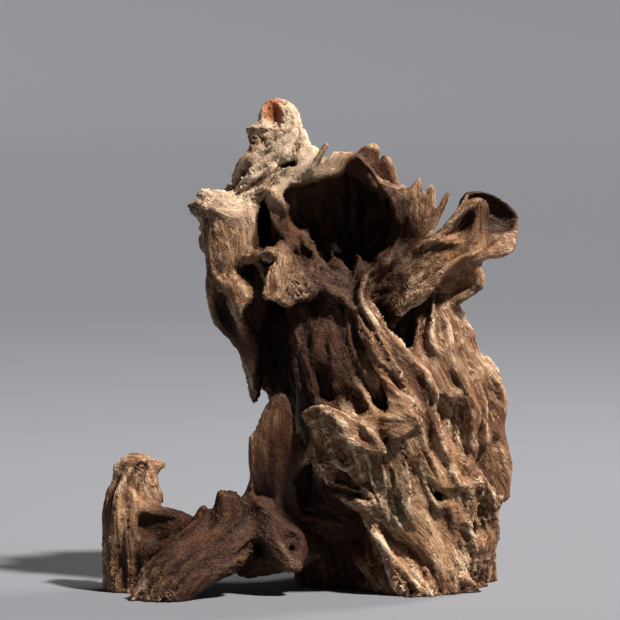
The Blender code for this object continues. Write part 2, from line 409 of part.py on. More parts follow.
def bowl_rim():
    """The rim along the top of the bowl, knob by knob from the pinnacle to the fan, with chips behind it."""
    return [
        ([(-14, -9, 179, 1.8, 3), (-9, -12, 182.6, 2.2, 3), (-5, -13, 180.6, 1.8, 3), (-1, -13, 182.4, 1.8, 3),
          (4, -13, 183.6, 1.8, 3), (9, -13, 185, 1.8, 3), (13, -12, 188, 1.8, 3), (14.6, -10, 192, 1.8, 3)], FRONT),
        ([(-10, -8, 184, 4, 5), (-4, -8, 185, 4, 5), (3, -8, 186.6, 4, 5), (10, -7, 188.4, 4, 5)], FRONT),
        ([(14.6, -10, 191.6, 1.8, 3), (17, -11, 192.6, 2, 3), (20.6, -12, 191.4, 1.5, 3), (24, -13, 188, 1.2, 3),
          (27, -14, 184.4, 1.2, 3), (30, -15, 180.6, 1.3, 3), (33, -16, 177, 1.5, 3), (35.6, -16, 172, 1.8, 3),
          (37, -15, 167, 2, 3), (40, -13, 162.4, 1.6, 3), (42, -8, 157.6, 1.6, 3)], FRONT),
        ([(20.4, -5, 189, 2.4, 4), (22.6, -5, 193, 2.2, 3), (26.6, -5, 195.6, 2, 2.4)], FRONT),
        ([(26.2, -3, 184, 3.4, 4), (26.8, -4, 190, 3.1, 3.4), (27.4, -4, 195, 2.6, 2.4)], FRONT),
        ([(31.6, -3, 179, 3.8, 4), (32.4, -4, 185, 3.4, 3.4), (32, -4, 189.6, 2.6, 2.6)], FRONT),
        ([(31, -5, 190.6, 1.4, 2.4), (33.6, -5, 189.4, 1.4, 2.4), (34.8, -4, 185, 1.2, 2.4)], FRONT),
        ([(-3, -9, 185, 3.4, 4), (-1, -9, 190, 3.4, 3.6), (0.6, -9, 194, 2.6, 3)], (0.3, -1, 0)),
        ([(-6.6, -10, 181, 1, 2.4), (-4.6, -11, 184.6, 1.1, 2.4), (-3.4, -11, 188, 1, 2.4)], FRONT),
    ]


def fan():
    """The flared wall on the right of the bowl, with blunt fingers along its edge."""
    return [
        ([(38, -4, 142, 7, 6), (41, -7, 152, 7, 5), (43.6, -9, 162, 8, 4.6), (43.6, -10, 171, 7.6, 4)], (-0.3, -1, 0.2)),
        ([(36, -15, 174, 1.8, 3), (37.4, -15, 168.4, 2.4, 3), (39.6, -14, 164, 1.8, 3)], FRONT),
        ([(43, -11, 165, 3.6, 3.4), (45, -12, 174, 3.8, 3.4), (46.4, -12, 180, 2.9, 2.8), (46.8, -12, 182.6, 2, 2)],
         (0.1, -1, 0)),
        ([(48, -10, 163, 3.2, 3.4), (50.6, -11, 171, 3.2, 3), (52.4, -11, 177, 2.6, 2.5), (52.8, -11, 179.6, 1.8, 1.8)],
         FRONT),
        ([(46, -11, 154.6, 2.6, 3.6), (50, -12, 162, 2.5, 3), (54, -12, 169, 2.1, 2.4), (57.4, -12, 174.6, 1.7, 1.8),
          (59, -12, 177.2, 1.2, 1.2)], FRONT),
        ([(31.6, -14, 180, 1.6, 3), (36, -14, 178.6, 2, 3), (40.6, -13, 178.2, 1.6, 3)], FRONT),
        ([(38, -14, 172, 1.6, 2.6), (40.6, -15, 175, 1.6, 2.6), (42, -13, 178, 1.4, 2.4)], FRONT),
        ([(42, -14, 164, 1.2, 2.4), (43.4, -15, 169, 1.4, 2.4), (42.6, -14, 174, 1.2, 2)], FRONT),
        ([(45, -13, 160, 1.2, 2.4), (48.6, -14, 167, 1.3, 2.4), (50.6, -13, 171, 1.3, 2.4), (53, -13, 173, 1, 2)], FRONT),
    ]


def pinnacle():
    """The pale broken stump at the top left, lump upon lump up to a hollow, splintered end."""
    lumps = [
        ([(-24, -4, 193.6, 3, 5), (-18, -8, 195.8, 3.6, 5), (-12, -9, 196.6, 3.8, 5), (-7, -8, 194, 3, 5)], FRONT),
        ([(-21, -8, 188.6, 3.2, 5), (-15, -10, 190.2, 3.2, 5), (-9, -10, 189.4, 3, 5), (-5.8, -8, 187, 2.6, 4)], FRONT),
        ([(-30, -2, 184, 3, 6), (-26, -7, 183.6, 4, 6), (-20, -10, 184, 4, 5), (-15, -11, 183.4, 3.4, 5)], FRONT),
        ([(-32.2, 1, 188, 1.2, 4), (-32.8, 0, 184, 1.6, 5), (-31, 0, 179.6, 2, 5)], FRONT),
        ([(-29, -2, 190.4, 2.4, 4), (-26.4, -5, 190.8, 2.6, 4), (-24, -6, 189, 2, 4)], FRONT),
        ([(-35.8, 0, 176.6, 1.3, 3), (-31, -5, 177.4, 2.6, 5), (-25, -9, 177.8, 3.2, 5), (-19, -10, 178.4, 3, 5)], FRONT),
        ([(-33, -6, 172.4, 1.8, 4), (-27, -10, 173.4, 2.4, 4), (-21, -11, 173, 2.2, 4), (-20, -11, 169, 1.6, 4)], FRONT),
        ([(-19, -13, 187, 1.1, 3), (-17.6, -13.6, 182, 1.2, 3), (-16, -14, 177, 1.1, 3)], FRONT),
        ([(-14.4, -12, 187, 1.1, 3), (-12.6, -13, 183, 1.2, 3), (-10.6, -13, 180, 1.1, 3)], FRONT),
        ([(-25, -11, 187, 1, 2.6), (-23, -12, 182, 1.1, 2.6), (-22.6, -13, 177, 1, 2.6)], FRONT),
    ]
    horn = [
        ([(-13, -1, 201.6, 4.4, 6), (-18, -3, 200.8, 4.2, 5), (-23, -4, 201, 3.2, 3.6), (-26.4, -4, 202.4, 1.8, 2.2),
          (-29, -4, 204, 0.9, 1)], FRONT),
        ([(-18, -7, 204.4, 1.2, 2.6), (-24, -7, 204.8, 1.1, 2.2), (-29, -4, 204.8, 0.8, 1)], FRONT),
        ([(-27.2, -4, 201, 1, 2), (-25, -5, 197.4, 1.4, 3), (-22, -6, 195, 1.6, 3)], FRONT),
    ]
    broken_end = [
        ([(-21, -3, 203, 1.8, 4.4), (-21.2, -3, 209, 1.7, 4.4), (-20, -3, 213, 1.6, 3.6)], FRONT),
        ([(-20, -2, 213, 1.6, 3.6), (-17, -1, 215.6, 1.6, 3.6), (-13, -1, 215, 1.7, 3.6), (-9, -2, 212.8, 2, 4)], FRONT),
        ([(-9.2, -4, 212.6, 2, 4), (-7.8, -5, 208.6, 2.4, 4.4), (-7.4, -6, 204, 2.8, 4.6), (-5.6, -6, 199.6, 2.6, 4.4),
          (-3.6, -5, 195, 2, 4)], FRONT),
        ([(-17.4, -7, 204.4, 1.3, 3), (-14, -9, 203, 1.5, 3), (-10, -9, 204, 1.4, 3)], FRONT),
        ([(-3.6, -7, 203, 0.9, 2.4), (-2.6, -7, 199, 1.1, 2.6), (-1.4, -6, 195, 1.1, 2.6)], FRONT),
    ]
    return [
        ([(-20, 6, 166, 14, 13), (-18.4, 4, 176, 13.6, 12), (-16, 2, 184, 12.4, 11), (-13.4, 1, 192, 10.2, 10),
          (-12, 0, 199, 9, 9), (-13.4, 0, 206, 7.8, 8), (-14.2, 0, 210.4, 6.6, 7)], FRONT),
        *lumps, *horn, *broken_end,
    ]


def perched_bits():
    """A peg and a squared chip that stand on the rim beside the pinnacle."""
    return [
        ([(2, -10, 186, 2.4, 2.6), (4, -11, 192, 2.3, 2.3), (6.8, -11, 197.4, 2.2, 2.2)], FRONT),
        ([(8.4, -10, 185, 5.4, 3.4), (9, -10, 189, 5.4, 3), (9.8, -10, 192.6, 5, 2.8)], (0.1, -1, 0)),
        ([(4.6, -12, 186, 0.9, 1.6), (6, -12, 190, 0.9, 1.6), (7.4, -12, 194, 0.9, 1.6), (13.6, -12, 193.6, 0.9, 1.6),
          (13.4, -12, 187, 0.9, 1.6)], FRONT),
    ]


def right_arm():
    """The thick arm that climbs to the right out of the bowl's side: a trough between two raised edges."""
    return [
        ([(26, -4, 118, 11, 12), (38, -9, 132, 11.6, 9), (49, -13, 143, 9.6, 7), (59, -15, 153, 8, 6),
          (66, -15, 160, 7, 5)], (0.25, -1, 0.1)),
        ([(40, -13, 148.6, 1.8, 4), (46, -15, 152.6, 1.8, 4), (53, -16, 158, 1.8, 4), (59, -16, 164, 1.8, 4),
          (64, -15, 170, 1.8, 3.6), (66.6, -13, 174.6, 1.6, 3)], FRONT),
        ([(52, -17, 156, 1.2, 3), (59, -19, 163, 1.3, 3), (66, -20, 169.6, 1.5, 3), (71, -20, 173.4, 1.5, 3),
          (74.8, -19, 172.6, 1.4, 3), (75.4, -18, 166, 1.3, 3), (74.8, -18, 158, 1.3, 3), (72.6, -18, 151, 1.6, 3)], FRONT),
        ([(33, -17, 122, 2.4, 4), (44, -21, 130, 2.2, 4), (52, -22, 136, 2, 4), (58, -22, 144, 2, 4),
          (64, -21, 149, 2.2, 3.4)], FRONT),
        ([(60, -18, 146, 2, 3.6), (64, -20, 149.6, 2.4, 3.6), (69, -20, 150, 2.6, 3.6), (74, -17, 150, 2.4, 3)], FRONT),
        ([(52, -18, 154.4, 1.2, 3), (58, -20, 155, 1.4, 3), (63.6, -21, 154.6, 1.4, 3), (68, -21, 156, 1.6, 3),
          (70.6, -21, 163, 1.6, 3), (72, -20, 170, 1.3, 2.6)], FRONT),
        ([(68, -17, 152, 4, 4), (71.6, -17, 160, 3, 3.4), (73, -17, 168, 2, 2.6)], FRONT),
        ([(30, -11, 129, 6, 6), (36, -14, 138, 5.6, 5), (43, -14, 147, 3.6, 4)], FRONT),
        ([(44, -21, 128.4, 1.6, 3), (50, -22, 132.4, 1.6, 3), (52.6, -22, 137, 1.3, 2.6)], FRONT),
    ]


def blade():
    """The broad blade at the end of the arm, dark in its hollow, with a curled lower edge in facets."""
    return [
        ([(67, -7, 163, 11, 4), (73, -6, 163.4, 12, 3.4), (80, -4, 162.4, 11, 2.8), (86, -3, 161.4, 8.6, 2.4),
          (88.4, -3, 161.4, 5.4, 1.8)], (-0.2, -1, 0.1)),
        ([(64.4, -11, 171, 1.8, 3), (66, -11, 174.4, 1.6, 3), (69, -11, 175.6, 1.5, 3), (75, -9, 175.2, 1.4, 3),
          (80, -8, 173.4, 1.4, 2.6), (85.6, -6, 169.4, 1.4, 2.4), (89.2, -4, 165.4, 1.3, 2)], FRONT),
        ([(89.4, -4, 165, 1.2, 2), (89, -4, 160, 1.3, 2), (88, -6, 156.4, 1.4, 2.4)], FRONT),
        ([(72, -13, 150.4, 2.4, 4), (78, -14, 150, 2.4, 4), (83.6, -13, 150.6, 2.2, 3.6), (87, -10, 153, 1.9, 3),
          (88, -6, 157, 1.5, 2.4)], FRONT),
        ([(76, -10, 154, 4.4, 4), (81, -10, 155.4, 4.6, 3.6), (86, -8, 156.4, 3.4, 3)], (0.2, -1, 0.4)),
        ([(79, -14, 158, 1.1, 2.4), (80.4, -15, 154, 1.2, 2.4), (82, -15, 151, 1.1, 2.4)], FRONT),
        ([(83.6, -13, 158.4, 1, 2.4), (84.6, -14, 154.6, 1.1, 2.4), (86, -12, 151.6, 1, 2.4)], FRONT),
    ]


def ear():
    """The small cupped ear under the blade, with a thick pale edge."""
    return [
        ([(54, -6, 124, 6, 6), (60, -7, 132, 7, 5), (65, -8, 140, 7, 4.6), (66, -9, 147, 5, 4)], (0.2, -1, 0)),
        ([(60, -11, 126.4, 2, 4), (65, -12, 130, 2, 4), (70, -12, 133.6, 2.4, 4), (72.6, -13, 136.4, 2.6, 4),
          (72.2, -14, 141, 2.6, 4), (70.4, -15, 145, 2.4, 4), (68, -17, 149, 2, 4)], FRONT),
        ([(56, -15, 134, 1, 2.4), (60, -16, 137, 1, 2.4), (65, -16, 139, 1, 2.4), (69, -15, 140.6, 1, 2.4)], FRONT),
        ([(62, -16, 143.6, 2, 3), (66, -17, 146, 2, 3), (69, -17, 144, 1.6, 2.6)], FRONT),
        ([(50, -4, 112, 8, 8), (56, -4, 122, 6, 7)], FRONT),
    ]


def slab():
    """The upright leaf-shaped slab in front of the cleft, with a rolled bright right edge."""
    return [
        ([(-15, -16, 30, 6, 5), (-17, -19, 42, 7.6, 3.6), (-18.4, -22, 55, 8.2, 3), (-18, -23, 68, 8.2, 2.8),
          (-15.6, -23, 78, 6.4, 2.6), (-14, -23, 84, 4.2, 2.2)], (-0.3, -1, 0.05)),
        ([(-18, -23, 83, 1.1, 2.4), (-13.6, -24, 86.4, 1.2, 2.4), (-10, -23, 83, 1.2, 2.4), (-9.6, -23, 75, 1.2, 2.6),
          (-9.6, -24, 66, 1.6, 3), (-8.6, -23, 58, 1.4, 3), (-8.4, -20, 48, 1.6, 4), (-8, -17, 38, 3, 5)], FRONT),
        ([(-9, -24, 73.6, 0.8, 2), (-6.4, -23, 69, 1.1, 2.4), (-6.4, -22, 65, 1.3, 2.4), (-8, -22, 60, 1.2, 2.4)], FRONT),
        ([(-3, -20, 63, 1.2, 2.4), (-5.4, -21, 57, 1.5, 2.6), (-7.4, -20, 50, 1.6, 2.8), (-7.4, -19, 44, 1.4, 2.6),
          (-5.6, -18, 38, 1.2, 2.4)], FRONT),
        ([(-7, -20, 63, 1.8, 2.4), (-3, -20, 63.6, 1.8, 2.4), (1, -20, 66, 1.6, 2.6)], FRONT),
        ([(-26.2, -20, 70, 1, 2.4), (-26.4, -20, 60, 1.1, 2.4), (-25.4, -19, 50, 1.2, 2.6), (-28, -19, 43, 1.4, 2.8)], FRONT),
        ([(-5, 0, 28, 8, 8), (-5, 0, 46, 6, 8), (-6, 0, 62, 5, 8)], FRONT),
        ([(-20, -22, 74, 1, 3), (-21, -23, 62, 1.1, 3), (-20, -22, 48, 1.2, 3)], FRONT),
        ([(-15, -24, 76, 0.9, 3), (-15.4, -25, 62, 1, 3), (-14.6, -23, 48, 1.1, 3), (-15, -20, 36, 1.2, 3)], FRONT),
    ]


def root_arm():
    """The root that leaves the trunk low on the left and swings forward to its own foot."""
    return [
        ([(16, 0, 30, 12, 12), (2, -4, 32, 10, 10), (-10, -10, 33, 9, 9), (-22, -16, 32, 9, 8)], FRONT),
        ([(-20, -18, 32, 9, 7), (-31, -24, 29, 10, 7), (-42, -29, 23, 11, 8), (-53, -34, 14, 12, 8),
          (-61, -37, 5, 12, 9), (-64, -38, -12, 13, 9)], (0.35, -1, 0.2)),
        ([(-76, -37, -8, 2.4, 6), (-74, -38, 6, 2.2, 5), (-69, -38, 15, 2, 5), (-60, -36, 24, 2, 5),
          (-51, -32, 31.6, 2.2, 5)], (-0.5, -1, 0)),
        ([(-51, -31, 29, 3, 5), (-48.4, -31, 34, 2.6, 4), (-46, -31, 36.6, 2.2, 3)], FRONT),
        ([(-42.6, -28, 27, 5, 6), (-39, -28, 36, 3, 5), (-39.4, -28, 43, 2.2, 4)], FRONT),
        ([(-37, -26, 28, 5, 6), (-36, -27, 37, 3.6, 5), (-35.6, -27, 42.4, 2.8, 4)], FRONT),
        ([(-33, -24, 30, 4, 5), (-32.4, -26, 38, 2.4, 4), (-32.8, -26, 42.4, 1.6, 3)], FRONT),
        ([(-60, -40, -2, 5, 5), (-50, -37, 6, 4.4, 5), (-41, -34, 11, 4, 5), (-32, -30, 15, 4, 5)], FRONT),
        ([(-47, -36, 17, 1.3, 3), (-41, -36, 15.4, 1.4, 3), (-34, -34, 15, 1.3, 3)], FRONT),
        ([(-48, -37, 12.6, 1.3, 3), (-41, -36, 11, 1.4, 3), (-35, -34, 11, 1.2, 3)], FRONT),
        ([(-48, -35, 23, 1.6, 3), (-40, -34, 21, 1.6, 3), (-33, -32, 21.6, 1.6, 3), (-27, -27, 26, 1.6, 3)], FRONT),
        ([(-66, -44, -6, 1.6, 3), (-62, -43, 6, 1.6, 3), (-55, -41, 15, 1.5, 3), (-48, -37, 23, 1.4, 3)], FRONT),
        ([(-57, -42, -4, 1.5, 3), (-54, -41, 4, 1.5, 3), (-50, -39, 10, 1.4, 3)], FRONT),
    ]


def knuckle():
    """The knuckle where root and slab meet, with a jaw that hangs clear of the floor."""
    return [
        ([(-30, -19, 40.6, 2, 4), (-26, -22, 39.6, 2.6, 5), (-21.6, -24, 39.6, 2.4, 4.4), (-17, -26, 35, 2.2, 4)], FRONT),
        ([(-22, -24, 37, 3, 5), (-19, -26, 30, 3.2, 5), (-15.6, -28, 24, 3.2, 4.4), (-11, -30, 18, 3, 4),
          (-6.6, -30, 13.6, 2.6, 3.4)], (-0.2, -1, 0)),
        ([(-22.6, -27, 30, 0.9, 2.4), (-20, -29, 24, 1, 2.4), (-15.6, -31, 19, 1.1, 2.4), (-11, -32, 15, 1.1, 2.4)],
         FRONT),
        ([(-17.4, -29, 32, 0.8, 2.2), (-14.4, -31, 26, 0.9, 2.2), (-10.4, -32, 20, 0.9, 2.2)], FRONT),
        ([(-15, -27, 34, 1.2, 3), (-12, -26, 29.6, 1.4, 3), (-7, -25, 28.6, 1.4, 3), (-4.4, -25, 24, 1.5, 3),
          (-4.6, -27, 18, 1.6, 3), (-4.6, -29, 13.6, 1.6, 3)], FRONT),
        ([(-28, -23, 34, 2.4, 4), (-26.6, -25, 28, 2, 3.6), (-27.4, -25, 22, 1.6, 3)], FRONT),
        ([(-25, -26, 19, 1.2, 3), (-19, -29, 15.8, 1.5, 3), (-12, -30, 12.8, 1.8, 3), (-6, -30, 12.4, 1.8, 3)], FRONT),
        ([(-30, -16, 14, 4, 8), (-22, -18, 15, 7, 8), (-12, -19, 16, 7, 7), (-2, -14, 18, 8, 8)], UP),
        ([(-11, -18, 34, 5, 6), (-8, -20, 27, 5, 6), (-6, -22, 19, 4.4, 6)], FRONT),
        ([(-24, -12, 28, 8, 7), (-16, -14, 22, 9, 7), (-6, -14, 22, 8, 7)], FRONT),
        ([(-2, -8, 30, 6, 8), (1, -4, 20, 6, 8), (4, 0, 10, 6, 9), (6, 2, -12, 6, 10)], FRONT),
    ]


def left_post():
    """The post at the far left: an upright stub with a club head, joined to the root by a web."""
    return [
        ([(-82, -10, -12, 8, 9), (-82.6, -10, 12, 8, 9), (-83, -9, 30, 7.6, 8), (-82, -8, 42, 7.4, 7)], FRONT),
        ([(-79, -17, -12, 2, 4), (-79, -18, 12, 2, 4), (-79, -17, 28, 2, 4), (-77.4, -15, 39, 1.8, 3.4)], FRONT),
        ([(-85, -17, -8, 1.4, 3), (-85.4, -17.6, 14, 1.3, 3), (-85, -17, 32, 1.3, 3), (-83, -15, 44, 1.3, 3)], FRONT),
        ([(-88.4, -9, -12, 2.4, 6), (-89, -9, 15, 2, 6), (-88.8, -9, 34, 2, 5), (-87, -8, 42, 2.4, 5)], FRONT),
        ([(-83, -8, 43, 4.4, 6.6), (-80.4, -7, 50, 5.6, 6.6), (-78.4, -6, 55, 5.6, 5.4)], FRONT),
        ([(-72, -8, 40, 6, 5), (-72.6, -8, 48, 6, 5), (-73.4, -7, 54.6, 5.4, 4.6)], FRONT),
        ([(-84.6, -8, 53.6, 1.6, 4), (-80, -9, 57.6, 1.8, 4), (-74.6, -9, 58.6, 1.8, 4), (-70, -8, 56.6, 1.6, 3.4)], FRONT),
        ([(-72, -7, 53, 4, 4), (-68, -7, 54.6, 2.8, 3), (-65, -7, 55.6, 1.8, 2)], FRONT),
        ([(-68, -8, 49, 1.4, 3), (-67.4, -8, 44, 1.4, 3), (-65.4, -9, 40, 1.4, 3)], FRONT),
        ([(-81, -13, 47, 1.2, 3), (-77, -14, 42, 1.3, 3), (-73, -14, 38.6, 1.3, 3), (-68, -15, 37, 1.2, 3)], FRONT),
        ([(-76, -10, 26, 12, 5), (-68, -12, 27, 11, 5), (-59, -17, 27, 9, 5), (-50, -24, 26, 8, 5),
          (-42, -26, 26, 6, 5)], (-0.2, -1, 0)),
        ([(-75, -14, -12, 8, 5), (-73, -16, 8, 8, 5), (-70, -18, 20, 8, 5)], (-0.4, -1, 0)),
        ([(-62, -22, 10, 8, 6), (-58, -24, 20, 8, 6)], FRONT),
        ([(-76, -14, 38, 1.8, 3), (-71, -16, 36.6, 1.8, 3), (-64, -17, 36.6, 1.6, 3), (-57, -19, 35, 1.5, 3),
          (-51, -23, 33, 1.5, 3)], FRONT),
    ]


def on_back(turn, height, out=0.0):
    """A place on the hidden side. turn is in degrees from the right side (0) over the back (90) to the left (180)."""
    levels = (0, 60, 110, 150, 186)
    middle_x = np.interp(height, levels, (40, 42, 31, 11, 6))
    middle_y = np.interp(height, levels, (12, 11, 14, 18, 12))
    wide = np.interp(height, levels, (33, 35, 36, 37, 24)) + out
    deep = np.interp(height, levels, (35, 31, 29, 27, 13)) + out
    angle = math.radians(turn)
    return middle_x + wide * math.cos(angle), middle_y + deep * math.sin(angle), height


def back_strands(draw):
    """Strands that wind up the back like the grain of the front, in three storeys that overlap like shingles."""
    strands = []
    for low, high, count, first, last in ((-SOLE_DROP, 84, 11, -14, 205), (48, 140, 10, -8, 190), (104, 182, 9, 0, 190)):
        for start in np.linspace(first, last, count):
            top = high + draw.uniform(-14, 8)
            bottom = low if low < 0 else low + draw.uniform(-16, 16)
            heights = np.linspace(bottom, top, 6)
            turns = start - SPIRAL * (heights - low) + draw.uniform(-5, 5, 6)
            outs = np.array([0.5, 1.5, 2, 2, 0.5, -3]) + draw.uniform(-2.2, 2.2, 6)
            widths = np.array([5, 6.5, 6, 6, 4.5, 2]) * draw.uniform(0.7, 1.25, 6)
            rows = [(*on_back(turn, height, out), width, 0.5 * width + 3)
                    for turn, height, out, width in zip(turns, heights, outs, widths)]
            angle = math.radians(turns[2] + draw.uniform(-25, 25))
            strands.append((rows, (math.cos(angle), math.sin(angle), 0)))
    return strands


def back_furrows(draw):
    """Furrows that rot has opened between the strands of the back, and three deep knot holes."""
    furrows = []
    for start in np.linspace(-4, 196, 15):
        low = draw.uniform(8, 118)
        heights = low + np.linspace(0, draw.uniform(26, 54), 5)
        turns = start - SPIRAL * (heights - low) + draw.uniform(-3, 3, 5)
        widths = np.array([0.8, 1.8, 2.3, 1.8, 0.8]) * draw.uniform(0.7, 1.2)
        rows = [(*on_back(turn, height, 4), width, 5 + 2 * width) for turn, height, width in zip(turns, heights, widths)]
        angle = math.radians(turns[2])
        furrows.append((rows, (math.cos(angle), math.sin(angle), 0)))
    for turn, height, width, reach in ((66, 96, 5, 11), (128, 44, 6, 14), (24, 134, 4, 8)):
        rows = [(*on_back(turn + lean, height + rise, 4), part * width, reach)
                for lean, rise, part in ((6, -17, 0.25), (2, -8, 0.8), (0, 0, 1), (-3, 8, 0.7), (-6, 16, 0.25))]
        angle = math.radians(turn)
        furrows.append((rows, (math.cos(angle), math.sin(angle), 0)))
    return furrows


def crown(draw):
    """Strands that climb over the hood from behind and end as splinters along its edge."""
    strands = []
    for x in np.linspace(-24, 38, 9):
        lean = draw.uniform(-6, 6, 5)
        lift = 4 * math.cos((x - 8) / 22)
        rows = [
            (x * 1.05 + lean[0], 39, 138, 5, 5),
            (x + lean[1], 41, 153, 5, 5),
            (x * 0.95 + lean[2], 34, 167 + lift, 4.5, 5),
            (x * 0.85 + 1 + 0.5 * lean[3], 22, 177 + lift, 3.6, 4),
            (x * 0.8 + 2 + 0.3 * lean[4], 10, 182 + 1.4 * lift, 2.4, 3),
        ]
        strands.append((rows, (0, 1, 0.6)))
    return strands


def back():
    """The side that faces away: strands, a buttress root, a broken stub limb and the crown of the hood."""
    draw = np.random.default_rng(BACK_SEED)
    buttress = [
        ([(32, 30, 84, 5, 6), (30, 38, 62, 6, 7), (27, 45, 36, 7, 8), (22, 51, 12, 8, 8), (18, 53, -12, 9, 8)], (0.2, 1, 0)),
        ([(30, 42, 60, 1.6, 4), (28, 51, 36, 2, 4), (24, 57, 14, 2.2, 4), (20, 59, -12, 3, 4)], (0.2, 1, 0)),
        ([(24, 40, 48, 1.6, 4), (20, 46, 30, 2, 4), (14, 52, 12, 2.2, 4), (9, 54, -12, 3, 4)], (-0.3, 1, 0)),
    ]
    stub = [
        ([(14, 36, 108, 9, 8), (9, 44, 119, 7.4, 7), (5, 51, 128, 6, 6), (3, 54, 133, 5, 5)], (1, 0.4, 0)),
        ([(0, 38, 112, 1.6, 3), (0, 47, 124, 1.8, 3), (-2, 55, 136, 1.2, 2)], (0, 1, 0)),
        ([(13, 44, 112, 1.6, 3), (10, 52, 124, 1.8, 3), (8, 58, 134, 1.2, 2)], (0, 1, 0)),
        ([(4, 50, 126, 2.4, 3), (3, 56, 136, 1.6, 2), (2, 58, 141, 0.8, 1)], (0, 1, 0)),
    ]
    return [*back_strands(draw), *buttress, *stub, *crown(draw)]


